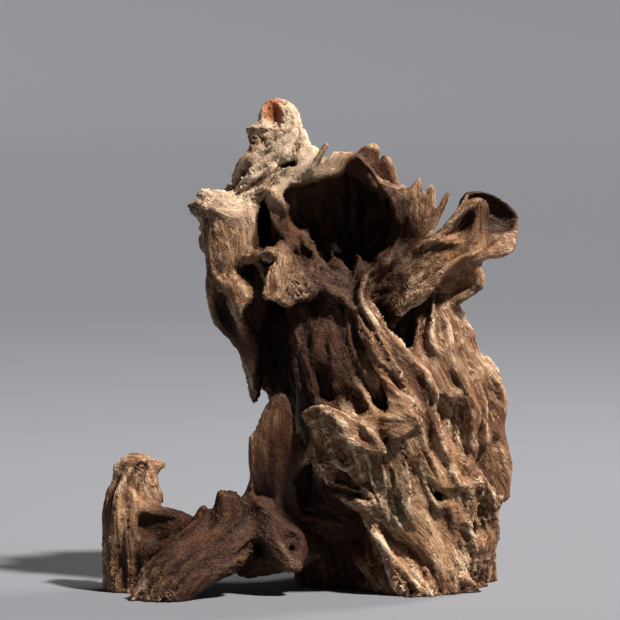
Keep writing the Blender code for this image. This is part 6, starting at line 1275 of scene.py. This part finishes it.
def streaks(skin, outward, grain, nearby):
    """One column for each size of streak, with mean 0 and spread 1."""
    source = np.stack([noise(skin, wave, seed) for wave, _, seed in STREAKS], 1)
    steps = np.array([count for _, count, _ in STREAKS])
    total = source.copy()
    for way in (1, -1):
        place, heading = skin.copy(), grain * way
        at = np.arange(len(skin))
        for step in range(steps.max()):
            place = place + heading * STEP
            at = nearby.find(place, at)
            lift = ((place - skin[at]) * outward[at]).sum(1, keepdims=True)
            place -= PULL_BACK * lift * outward[at]
            turn = np.sign((grain[at] * heading).sum(1, keepdims=True))
            heading = grain[at] * np.where(turn == 0, 1, turn)
            total += source[at] * (step < steps)
    return (total - total.mean(0)) / total.std(0)


plank, strand, cord, fibre = streaks(skin, outward, wavy, nearby).T
print("streaks on", len(skin), "vertices")

# %% [markdown]
# ## Relief
# In weathered wood the hard layers stand as sharp crests, and the soft wood between them is worn away.
# Wherever a streak passes through zero there is such a crest, and the height falls from it to both
# sides. A bump map would be easier, but it leaves the outline smooth, so the skin itself is moved. Thin
# limbs get less of it, or they would be cut through, and the sole stays flat.

# %% Push the skin out and in
PLANK_RIDGE = 1.1           # mm, how steeply each size of ridge falls from its crest
STRAND_RIDGE = 1.5
CORD_RIDGE = 1.0
FIBRE_LIFT = 0.4            # mm
LUMP = 0.5                  # mm
RIDGE_CREST = 0.8           # the height of a crest, so that the mean of a ridge is about 0
RIDGE_DEPTH = 2.2           # the most that it falls
CORD_SHIFT = 0.2            # cords crest a little above their zero line, away from the strands' crests
LUMP_WAVE = 0.016           # m
WEATHER_WAVE = 0.028        # m from a well worn place to a sounder one
FULL_RELIEF_RADIUS = 0.0052     # m, limbs this thick or thicker get all of it
LEAST_RELIEF = 0.36         # the share of it that the thinnest get
SOLE_BAND = 0.0006          # m


def ridge(value):
    """A sharp crest along the zero line of a streak. Its mean is about 0."""
    return RIDGE_CREST - np.minimum(np.abs(value), RIDGE_DEPTH)


lumps = noise(skin, LUMP_WAVE, 9)
weathering = np.clip(0.75 + 0.6 * noise(skin, WEATHER_WAVE, 11), 0.35, 1.2)
ridges = STRAND_RIDGE * ridge(strand) + CORD_RIDGE * ridge(cord - CORD_SHIFT) + FIBRE_LIFT * fibre
relief = weathering * (PLANK_RIDGE * ridge(plank) + ridges) + LUMP * lumps
calm = np.clip(facts[:, RADIUS] / FULL_RELIEF_RADIUS, LEAST_RELIEF, 1.0) * facts[:, ROUGHNESS]
on_sole = (skin[:, 2] < SOLE_BAND) & (outward[:, 2] < -0.5)
relief = np.where(on_sole, 0, relief * calm)
skin = skin + outward * (relief * MM)[:, None]
skin[:, 2] = np.maximum(skin[:, 2], 0)
furrowed = -ridges * weathering * np.clip(calm + 0.3, 0, 1)
print("relief from", round(relief.min(), 1), "to", round(relief.max(), 1), "mm")

# %% [markdown]
# ## What the skin remembers
# The material needs to know more than a place in space: which streak it is on, whether it is an edge,
# painted pale as rubbed wear and as highlight, or a furrow, darkened as dirt and as painted crease shade,
# and how rough the limb is. Each is an attribute on the vertices, set while the mesh is still fine, so that
# Decimate blends them as it merges vertices.

# %% Attributes
EDGE_ROUNDS = 2


def remember(mesh, name, values):
    """Stores one number or one vector for each vertex."""
    kind, key = ("FLOAT", "value") if values.ndim == 1 else ("FLOAT_VECTOR", "vector")
    mesh.attributes.new(name, kind, "POINT").data.foreach_set(key, values.ravel().astype(np.float32))


wood.data.vertices.foreach_set("co", skin.ravel())
wood.data.update()
bend = -((mean_of_neighbours(skin, edge_ends) - skin) * normals_of(wood.data)).sum(1, keepdims=True)
for _ in range(EDGE_ROUNDS):
    bend = mean_of_neighbours(bend, edge_ends)
bend /= bend.std()
remember(wood.data, "grain", grain)
remember(wood.data, "furrow", furrowed)
remember(wood.data, "edge", bend[:, 0])
remember(wood.data, "ragged", facts[:, ROUGHNESS])
print([attribute.name for attribute in wood.data.attributes])

# %% Fewer triangles, in the box of the plain solid
TRIANGLES = 194000

thin = wood.modifiers.new("thin", "DECIMATE")
thin.ratio = TRIANGLES / (2 * len(skin))
plain_mesh(wood)
skin, edge_ends = arrays(wood.data)
raw_low, raw_high = skin.min(axis=0), skin.max(axis=0)
skin = wood_low + (skin - raw_low) * (wood_high - wood_low) / (raw_high - raw_low)
wood.data.vertices.foreach_set("co", skin.ravel())
wood.data.shade_smooth()
wood.data.update()
print(sum(len(face.vertices) - 2 for face in wood.data.polygons), "triangles")

# %% [markdown]
# ## Shelter
# Deep hollows are painted nearly black, as painted shade, while only what stands out keeps its pale crests
# of wear and painted highlight. How much of the sky a point sees tells the two apart. It changes slowly,
# so rays from one point in each small cell are enough.

# %% Shelter
SHELTER_CELL = 0.003        # m
SHELTER_RAYS = 20
SHELTER_REACH = 0.07        # m
SHELTER_ROUNDS = 8
RAY_START = 0.0008          # m off the skin, clear of its own facets


def dome(count):
    """Directions over the upper half, more of them near the top."""
    number = np.arange(count) + 0.5
    radius = np.sqrt(number / count)
    turn = number * math.pi * (3 - math.sqrt(5))
    return np.stack([radius * np.cos(turn), radius * np.sin(turn), np.sqrt(1 - radius**2)], 1)


def shelter(mesh, places, ends):
    """0 in the open to 1 in a deep hollow."""
    normals = normals_of(mesh)
    cells = np.floor(places / SHELTER_CELL).astype(int)
    _, chosen, member = np.unique(cells, axis=0, return_index=True, return_inverse=True)
    triangles = [tuple(face.vertices) for face in mesh.polygons]
    tree = BVHTree.FromPolygons(places.tolist(), triangles)
    rays = dome(SHELTER_RAYS)
    closed = np.zeros(len(chosen))
    for at, vertex in enumerate(chosen):
        normal = Vector(normals[vertex])
        across = normal.orthogonal().normalized()
        beside = normal.cross(across)
        start = Vector(places[vertex]) + normal * RAY_START
        for x, y, z in rays:
            hit = tree.ray_cast(start, across * x + beside * y + normal * z, SHELTER_REACH)
            closed[at] += hit[0] is not None
    value = (closed / SHELTER_RAYS)[member.ravel()][:, None]
    for _ in range(SHELTER_ROUNDS):
        value = 0.5 * value + 0.5 * mean_of_neighbours(value, ends)
    return value[:, 0]


sheltered = shelter(wood.data, skin, edge_ends)
# the material paints shade into the hollows from this
remember(wood.data, "shelter", sheltered)
print("shelter from", round(sheltered.min(), 2), "to", round(sheltered.max(), 2))

# %% [markdown]
# ## Shader maths as plain sums
# A material is a graph of nodes, and a formula is easier to read than a graph. A small class wraps an
# output socket, so that sums on it add Math nodes. Every other kind of node comes from its one method
# node.

# %% Wires
class Wire:
    """One output of a node in a tree. Sums on it add Math nodes."""

    def __init__(self, tree, socket=None):
        self.tree = tree
        self.socket = socket

    def node(self, kind, settings=None, sockets=None, output=0):
        """Adds a node: its settings, then the values or links of its sockets. Gives one output."""
        made = self.tree.nodes.new(kind)
        for name, value in (settings or {}).items():
            setattr(made, name, value)
        for name, value in (sockets or {}).items():
            if isinstance(value, Wire):
                self.tree.links.new(value.socket, made.inputs[name])
            else:
                made.inputs[name].default_value = value
        return Wire(self.tree, made.outputs[output] if made.outputs else None)

    def math(self, operation, first, second=0.0):
        return self.node("ShaderNodeMath", {"operation": operation}, {0: first, 1: second})

    def __add__(self, other):
        return self.math("ADD", self, other)

    def __sub__(self, other):
        return self.math("SUBTRACT", self, other)

    def __rsub__(self, other):
        return self.math("SUBTRACT", other, self)

    def __mul__(self, other):
        return self.math("MULTIPLY", self, other)

    __radd__ = __add__
    __rmul__ = __mul__

    def between(self, low, high):
        """0 up to low, 1 from high on, and smooth in between. With low above high it falls instead."""
        sockets = {"Value": self, "From Min": low, "From Max": high}
        return self.node("ShaderNodeMapRange", {"interpolation_type": "SMOOTHSTEP"}, sockets)

    def colour_to(self, other, share):
        """This colour mixed with another one."""
        return self.node("ShaderNodeMix", {"data_type": "RGBA"}, {0: share, 6: self, 7: other}, 2)

    def vector(self, operation, other):
        return self.node("ShaderNodeVectorMath", {"operation": operation}, {0: self, 1: other})

    def tinted(self, other, share):
        """This colour multiplied by another one, so that its own pattern stays."""
        settings = {"data_type": "RGBA", "blend_type": "MULTIPLY"}
        return self.node("ShaderNodeMix", settings, {0: share, 6: self, 7: other}, 2)

    def noise(self, scale, detail=2.0, roughness=0.5, output="Fac"):
        sockets = {"Vector": self, "Scale": scale, "Detail": detail, "Roughness": roughness}
        return self.node("ShaderNodeTexNoise", {}, sockets, output)

    def near(self, centre, reach):
        """1 at a place on the wood, 0 at reach from it. Both have one number in metres for each axis."""
        offset = self.vector("SUBTRACT", centre).vector("DIVIDE", reach)
        distance = self.node("ShaderNodeVectorMath", {"operation": "LENGTH"}, {0: offset}, "Value")
        return distance.between(1.0, 0.4)


print("a wire adds, subtracts and multiplies")

# %% [markdown]
# ## Weathered wood
# The heartwood is a warm middle brown. Its crests are rubbed to cream, which also stands in for a painted
# highlight, its furrows are darkened red-brown to black as dirt and painted crease shade, its deep hollows
# are painted black as shade, and patches of it run to orange, to a mossy grey or to a dark stain that is
# partly painted shade under the overhangs. One Principled shader does all of it. Noise becomes fibre when
# the part of the place that runs along the grain is taken out before the noise is asked. Where the grain
# turns, that would bend fibres into whorls, so the grain is snapped to a few ways, with ragged seams
# between them. The stain and painted shade multiply what is under them, so that the fibres show through.

# %% Wood colours
BLACK_BROWN = (0.012, 0.005, 0.003, 1)
DARK_BROWN = (0.050, 0.019, 0.008, 1)
RED_BROWN = (0.125, 0.044, 0.015, 1)
BROWN = (0.175, 0.086, 0.042, 1)
TAN = (0.33, 0.205, 0.120, 1)
CREAM = (0.74, 0.57, 0.40, 1)
BONE = (0.80, 0.62, 0.44, 1)
ORANGE = (0.34, 0.135, 0.042, 1)
GREY_MOSS = (0.20, 0.165, 0.100, 1)
# tint of the dark spots: partly stain and partly painted shade
STAIN_AND_SHADE_TINT = (0.19, 0.125, 0.088, 1)
HEART_RED = (0.30, 0.070, 0.016, 1)
print("from", BLACK_BROWN[:3], "in the furrows to", CREAM[:3], "on the crests")

# %% Where the colours lie
# Each spot is a centre and its reach along x, y and z, in metres.
MOSS_SPOT = ((0.040, -0.046, 0.048), (0.022, 0.030, 0.034))
BLEACHED_SPOT = ((-0.019, -0.010, 0.193), (0.045, 0.045, 0.050))
HEART_SPOT = ((-0.0160, -0.008, 0.2105), (0.0085, 0.0120, 0.0085))
# dark spots under the bowl, the arm, the root and in the hollows: painted shade of the overhangs, partly
# dark heartwood
SHADE_AND_STAIN_SPOTS = (
    ((0.002, -0.018, 0.108), (0.036, 0.040, 0.044)),
    ((-0.042, -0.036, 0.016), (0.050, 0.044, 0.052)),
    ((0.004, -0.014, 0.022), (0.032, 0.032, 0.046)),
    ((0.014, -0.006, 0.156), (0.054, 0.050, 0.042)),
    ((-0.012, -0.024, 0.058), (0.012, 0.026, 0.040)),
    ((-0.013, -0.004, 0.096), (0.013, 0.034, 0.026)),
    ((0.077, -0.010, 0.166), (0.020, 0.030, 0.018)),
    ((-0.030, -0.006, 0.122), (0.022, 0.026, 0.030)),
    ((0.023, -0.012, 0.187), (0.016, 0.018, 0.011)),
    ((0.038, -0.016, 0.130), (0.018, 0.016, 0.018)),
)
print(len(SHADE_AND_STAIN_SPOTS), "stained spots")

# %% Wood material
STRETCH = 0.93              # how much of the length along the grain is taken out
WAY_STEP = 0.4              # the grain is snapped to steps of this
SEAM_SHIFT = 0.32           # how far noise moves the grain across such a step
BUMP_DISTANCE = 0.0018      # m
SHEEN = 0.22                # dry fibres reflect less than the 0.5 of a varnished surface
BROAD, BLOTCH, CORDS, SEAM, THREADS, GRIT, HAIRS = 30, 95, 170, 330, 520, 1100, 1700    # bumps in a metre


def wood_material(name):
    """Fibres, dirt with painted shade, rubbed crests with a painted highlight, and stains with painted
    shade, from the place and from what the skin remembers.
    """
    material = bpy.data.materials.new(name)
    material.use_nodes = True
    material.node_tree.nodes.clear()
    start = Wire(material.node_tree)

    def attribute(key, output="Fac"):
        return start.node("ShaderNodeAttribute", {"attribute_name": key}, {}, output)

    place = start.node("ShaderNodeTexCoord", {}, {}, "Object")
    grain = attribute("grain", "Vector")
    furrow = attribute("furrow")
    edge = attribute("edge")
    ragged = attribute("ragged")
    shade = attribute("shelter")

    ragged_seam = place.noise(SEAM, 2.0, 0.6, "Color").vector("SUBTRACT", (0.5, 0.5, 0.5))
    way = grain.vector("ADD", ragged_seam.vector("MULTIPLY", [SEAM_SHIFT] * 3))
    way = way.vector("SNAP", [WAY_STEP] * 3).vector("NORMALIZE", (0, 0, 0))
    length = start.node("ShaderNodeVectorMath", {"operation": "DOT_PRODUCT"}, {0: place, 1: way}, "Value")
    across = place.vector("SUBTRACT", way.vector("MULTIPLY", length * STRETCH))
    broad = place.noise(BROAD, 3.0, 0.55)
    blotch = place.noise(BLOTCH, 3.0, 0.6)
    grit = place.noise(GRIT, 2.0, 0.65)
    cords = across.noise(CORDS, 3.0, 0.6)
    threads = across.noise(THREADS, 3.0, 0.65)
    hairs = across.noise(HAIRS, 2.0, 0.6)

    # fine is the height of the fibres, and the rest are masks from 0 to 1, for what the wood has been
    # through and for painted shade and highlight
    fine = (cords - 0.5) * 2.6 + (threads - 0.5) * 3.4 + (hairs - 0.5) * 2.2
    # crests go pale: partly rubbed wear and partly a painted highlight
    wear_and_highlight = (edge * 0.75 - furrow * 0.9 + fine + (blotch - 0.5) * 1.5).between(0.4, 3.2)
    # furrows go dark: partly dirt and partly painted crease shade
    dirt_and_crease_shade = (furrow * 0.8 - edge * 0.4 - fine * 0.9).between(-0.2, 1.8)
    # painted shade: deep hollows that see little sky go black
    painted_hollow_shade = shade.between(0.55, 1.0)
    bleached = place.near(*BLEACHED_SPOT)
    moss = place.near(*MOSS_SPOT) * (blotch + cords * 0.3).between(0.5, 0.72)
    orange = (broad + (cords - 0.5) * 0.7).between(0.52, 0.66)
    smooth = ragged.between(0.65, 0.4)
    # dark spots: partly stained heartwood and partly painted shade under the overhangs
    stain_and_shade = 0.0
    for spot in SHADE_AND_STAIN_SPOTS:
        stain_and_shade = place.near(*spot) + stain_and_shade
    stain_and_shade = (stain_and_shade * (0.40 + shade) * (0.7 + blotch * 0.6)).between(0.02, 0.42)
    # no pale crests in the hollows or in the painted shade of the dark spots
    wear_and_highlight = wear_and_highlight * shade.between(0.85, 0.35) * (1.0 - stain_and_shade * 0.55)

    # the colours, one over the other
    colour = start.node("ShaderNodeRGB")
    colour.socket.default_value = BROWN
    colour = colour.colour_to(TAN, (cords * 0.6 + threads * 0.4).between(0.42, 0.62))
    colour = colour.colour_to(RED_BROWN, (threads * 0.5 + broad * 0.5).between(0.54, 0.40) * 0.8)
    colour = colour.colour_to(ORANGE, orange * 0.4)
    colour = colour.colour_to(RED_BROWN, smooth * 0.4)
    colour = colour.colour_to(GREY_MOSS, moss * 0.4)
    colour = colour.colour_to(BONE, bleached * blotch.between(0.3, 0.5) * 0.5)
    colour = colour.colour_to(CREAM, wear_and_highlight * 0.8)
    colour = colour.colour_to(DARK_BROWN, dirt_and_crease_shade * 0.92)
    # the stain and painted shade multiply the colour
    colour = colour.tinted(STAIN_AND_SHADE_TINT, stain_and_shade)
    # painted shade of the hollows, with the dirt and crease shade there, goes to black-brown
    black_shade_and_dirt = (painted_hollow_shade + dirt_and_crease_shade * shade.between(0.2, 0.8) * 0.7).between(0.0, 1.0)
    colour = colour.colour_to(BLACK_BROWN, black_shade_and_dirt * 0.93)
    colour = colour.colour_to(HEART_RED, place.near(*HEART_SPOT) * 0.9)

    # relief too fine for the mesh, and gloss
    height = (cords * 0.8 + threads * 0.7 + hairs * 0.4 + grit * 0.25) * (1.0 - smooth * 0.5)
    sockets = {"Strength": 0.9, "Distance": BUMP_DISTANCE, "Height": height}
    bump = start.node("ShaderNodeBump", {}, sockets, "Normal")
    rough = 0.58 + (grit - 0.5) * 0.25 - smooth * 0.14 - wear_and_highlight * 0.06 + dirt_and_crease_shade * 0.14
    shader = start.node(
        "ShaderNodeBsdfPrincipled",
        {},
        {"Base Color": colour, "Roughness": rough, "Normal": bump, "Specular IOR Level": SHEEN},
    )
    start.node("ShaderNodeOutputMaterial", {}, {"Surface": shader})
    return material


weathered = wood_material("weathered wood")
wood.data.materials.clear()
wood.data.materials.append(weathered)
print(len(weathered.node_tree.nodes), "nodes in the wood's material")

# %% [markdown]
# ## Slivers
# Torn wood has loose slivers along its broken edges. Geometry Nodes scatter them: points on the ragged
# faces, a thin tapered spike on each, turned along the grain and lifted a little off the skin.
# Modelling each by hand would be slow, and hair curves wouldn't survive the export.

# %% Slivers by Geometry Nodes
SLIVER_SEED = 3
SLIVER_SIZES = (("Density", 26000.0), ("Length", 0.0030), ("Radius", 0.00045))      # for each m², then m
TIP_RADIUS = 0.00008        # m
RAGGED_FROM = 1.06          # only limbs rougher than this have slivers
SLIVER_LIFT = (0.22, 0.22, 0.22)    # how much a sliver leans out of the skin
SMALLEST, LARGEST = (0.6, 0.4, 0.3), (1.5, 0.9, 1.3)


def sliver_tree(material):
    """A node tree that scatters slivers on the mesh it is given."""
    tree = bpy.data.node_groups.new("slivers", "GeometryNodeTree")
    face = tree.interface
    face.new_socket("Geometry", in_out="INPUT", socket_type="NodeSocketGeometry")
    for name, value in SLIVER_SIZES:
        face.new_socket(name, in_out="INPUT", socket_type="NodeSocketFloat").default_value = value
    face.new_socket("Seed", in_out="INPUT", socket_type="NodeSocketInt").default_value = SLIVER_SEED
    face.new_socket("Geometry", in_out="OUTPUT", socket_type="NodeSocketGeometry")
    start = Wire(tree)
    given = {
        socket.name: Wire(tree, socket) for socket in tree.nodes.new("NodeGroupInput").outputs if socket.name
    }

    def stored(name, kind="FLOAT"):
        return start.node("GeometryNodeInputNamedAttribute", {"data_type": kind}, {"Name": name})

    place = start.node("GeometryNodeInputPosition")
    height = start.node("ShaderNodeSeparateXYZ", {}, {"Vector": place}, "Z")
    torn = (stored("ragged") - RAGGED_FROM) * 6.0
    torn = torn * stored("edge").between(0.2, 1.6) * height.between(0.007, 0.012)
    torn = start.node("ShaderNodeClamp", {}, {"Value": torn})
    points = start.node(
        "GeometryNodeDistributePointsOnFaces",
        {"distribute_method": "RANDOM"},
        {"Mesh": given["Geometry"], "Density": given["Density"] * torn, "Seed": given["Seed"]},
    )
    outward = Wire(tree, points.socket.node.outputs["Normal"])
    lean = stored("grain", "FLOAT_VECTOR").vector("ADD", outward.vector("MULTIPLY", SLIVER_LIFT))
    turn = start.node("FunctionNodeAlignRotationToVector", {"axis": "Z"}, {"Vector": lean})
    sockets = {"Radius Top": TIP_RADIUS, "Radius Bottom": given["Radius"], "Depth": given["Length"]}
    spike = start.node("GeometryNodeMeshCone", {"fill_type": "TRIANGLE_FAN"}, {"Vertices": 4, **sockets})
    size = start.node(
        "FunctionNodeRandomValue",
        {"data_type": "FLOAT_VECTOR"},
        {0: SMALLEST, 1: LARGEST, "Seed": given["Seed"]},
    )
    sockets = {"Points": points, "Instance": spike, "Rotation": turn, "Scale": size}
    placed = start.node("GeometryNodeInstanceOnPoints", {}, sockets)
    solid = start.node("GeometryNodeRealizeInstances", {}, {"Geometry": placed})
    painted = start.node("GeometryNodeSetMaterial", {}, {"Geometry": solid, "Material": material})
    start.node("NodeGroupOutput", {}, {"Geometry": painted})
    return tree


slivers = bpy.data.objects.new("slivers", wood.data.copy())
bpy.context.scene.collection.objects.link(slivers)
scatter = slivers.modifiers.new("slivers", "NODES")
scatter.node_group = sliver_tree(weathered)
plain_mesh(slivers)
print("slivers:", len(slivers.data.polygons), "faces")

# %% [markdown]
# ## Hand the wood to the frame
# The fine wood stands for the plain solid, and all of it is one body.

# %% Ride and replace
wood.name = "driftwood_grain"
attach(wood, "root")
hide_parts(WOOD)
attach(slivers, "root")
print(wood.name, "stands for", WOOD)

# %% [markdown]
# ## Floor and light
# The piece stands in a wide shallow bowl, so that there is the same grey behind it from every side. Its
# grey is painted a little darker far away, a painted falloff of light, as in the photograph. One warm light
# high on the right gives the hard shade, and a second one behind it picks out the edges.

# %% Floor
FLOOR_RADIUS = 3.6          # m
FLAT_EDGE = 0.2             # m, a last flat ring before the bend keeps its shading smooth
BEND_RADIUS = 0.8           # m
BEND_STEPS = 12
RIM_HEIGHT = 1.4            # m
FLOOR_SIDES = 96
FADE = (0.2, 1.5)           # m from the middle, where the near grey ends and the far grey begins
# painted falloff of light: paler near the wood, darker far off
NEAR_GREY = (0.154, 0.160, 0.179, 1)
FAR_GREY = (0.110, 0.115, 0.130, 1)


def studio_floor():
    """A flat round floor that curves up at its rim."""
    profile = [(FLOOR_RADIUS - FLAT_EDGE, 0.0), (FLOOR_RADIUS, 0.0)]
    for step in range(1, BEND_STEPS + 1):
        turn = math.radians(90) * step / BEND_STEPS
        profile.append((FLOOR_RADIUS + BEND_RADIUS * math.sin(turn), BEND_RADIUS * (1 - math.cos(turn))))
    profile.append((FLOOR_RADIUS + BEND_RADIUS, RIM_HEIGHT))
    shape = bmesh.new()
    rings = []
    turns = [math.tau * side / FLOOR_SIDES for side in range(FLOOR_SIDES)]
    for radius, height in profile:
        places = [(radius * math.cos(turn), radius * math.sin(turn), height) for turn in turns]
        rings.append([shape.verts.new(place) for place in places])
    shape.faces.new(rings[0])
    for inner, outer in zip(rings, rings[1:]):
        for side in range(FLOOR_SIDES):
            after = (side + 1) % FLOOR_SIDES
            shape.faces.new((inner[side], outer[side], outer[after], inner[after]))
    mesh = bpy.data.meshes.new("floor")
    shape.to_mesh(mesh)
    shape.free()
    mesh.shade_smooth()
    made = bpy.data.objects.new("floor", mesh)
    bpy.context.scene.collection.objects.link(made)
    return made


def floor_material():
    """A matt grey that darkens away from the middle, a painted falloff of light."""
    material = bpy.data.materials.new("pale floor")
    material.use_nodes = True
    material.node_tree.nodes.clear()
    start = Wire(material.node_tree)
    place = start.node("ShaderNodeTexCoord", {}, {}, "Object")
    distance = start.node("ShaderNodeVectorMath", {"operation": "LENGTH"}, {0: place}, "Value")
    sockets = {0: distance.between(*FADE), 6: NEAR_GREY, 7: FAR_GREY}
    grey = start.node("ShaderNodeMix", {"data_type": "RGBA"}, sockets, 2)
    shader = start.node("ShaderNodeBsdfPrincipled", {}, {"Base Color": grey, "Roughness": 0.9})
    start.node("ShaderNodeOutputMaterial", {}, {"Surface": shader})
    return material


floor = studio_floor()
floor.data.materials.append(floor_material())
print("floor", 2 * (FLOOR_RADIUS + BEND_RADIUS), "m across")

# %% Lamps and world
AIM = Vector((0, 0, 0.11))  # the middle of the wood
WORLD_GREY = (0.032, 0.033, 0.037, 1)


def lamp(name, kind, place, power, colour, **settings):
    """Adds a lamp at a place in metres, turned to the wood."""
    light = bpy.data.lights.new(name, kind)
    light.energy = power
    light.color = colour
    for key, value in settings.items():
        setattr(light, key, value)
    made = bpy.data.objects.new(name, light)
    made.location = place
    made.rotation_euler = (AIM - Vector(place)).to_track_quat("-Z", "Y").to_euler()
    bpy.context.scene.collection.objects.link(made)


lamp("key", "SUN", (0.62, -0.46, 1.17), 8.0, (1.0, 0.97, 0.92), angle=math.radians(5))
lamp("rim", "AREA", (0.70, 0.45, 1.01), 11.0, (1.0, 0.96, 0.90), size=0.20)
world = bpy.data.worlds.new("studio")
world.use_nodes = True
world.node_tree.nodes["Background"].inputs["Color"].default_value = WORLD_GREY
bpy.context.scene.world = world
bpy.context.scene.view_settings.view_transform = "Standard"
print("a sun, a rim light and a dim grey world")
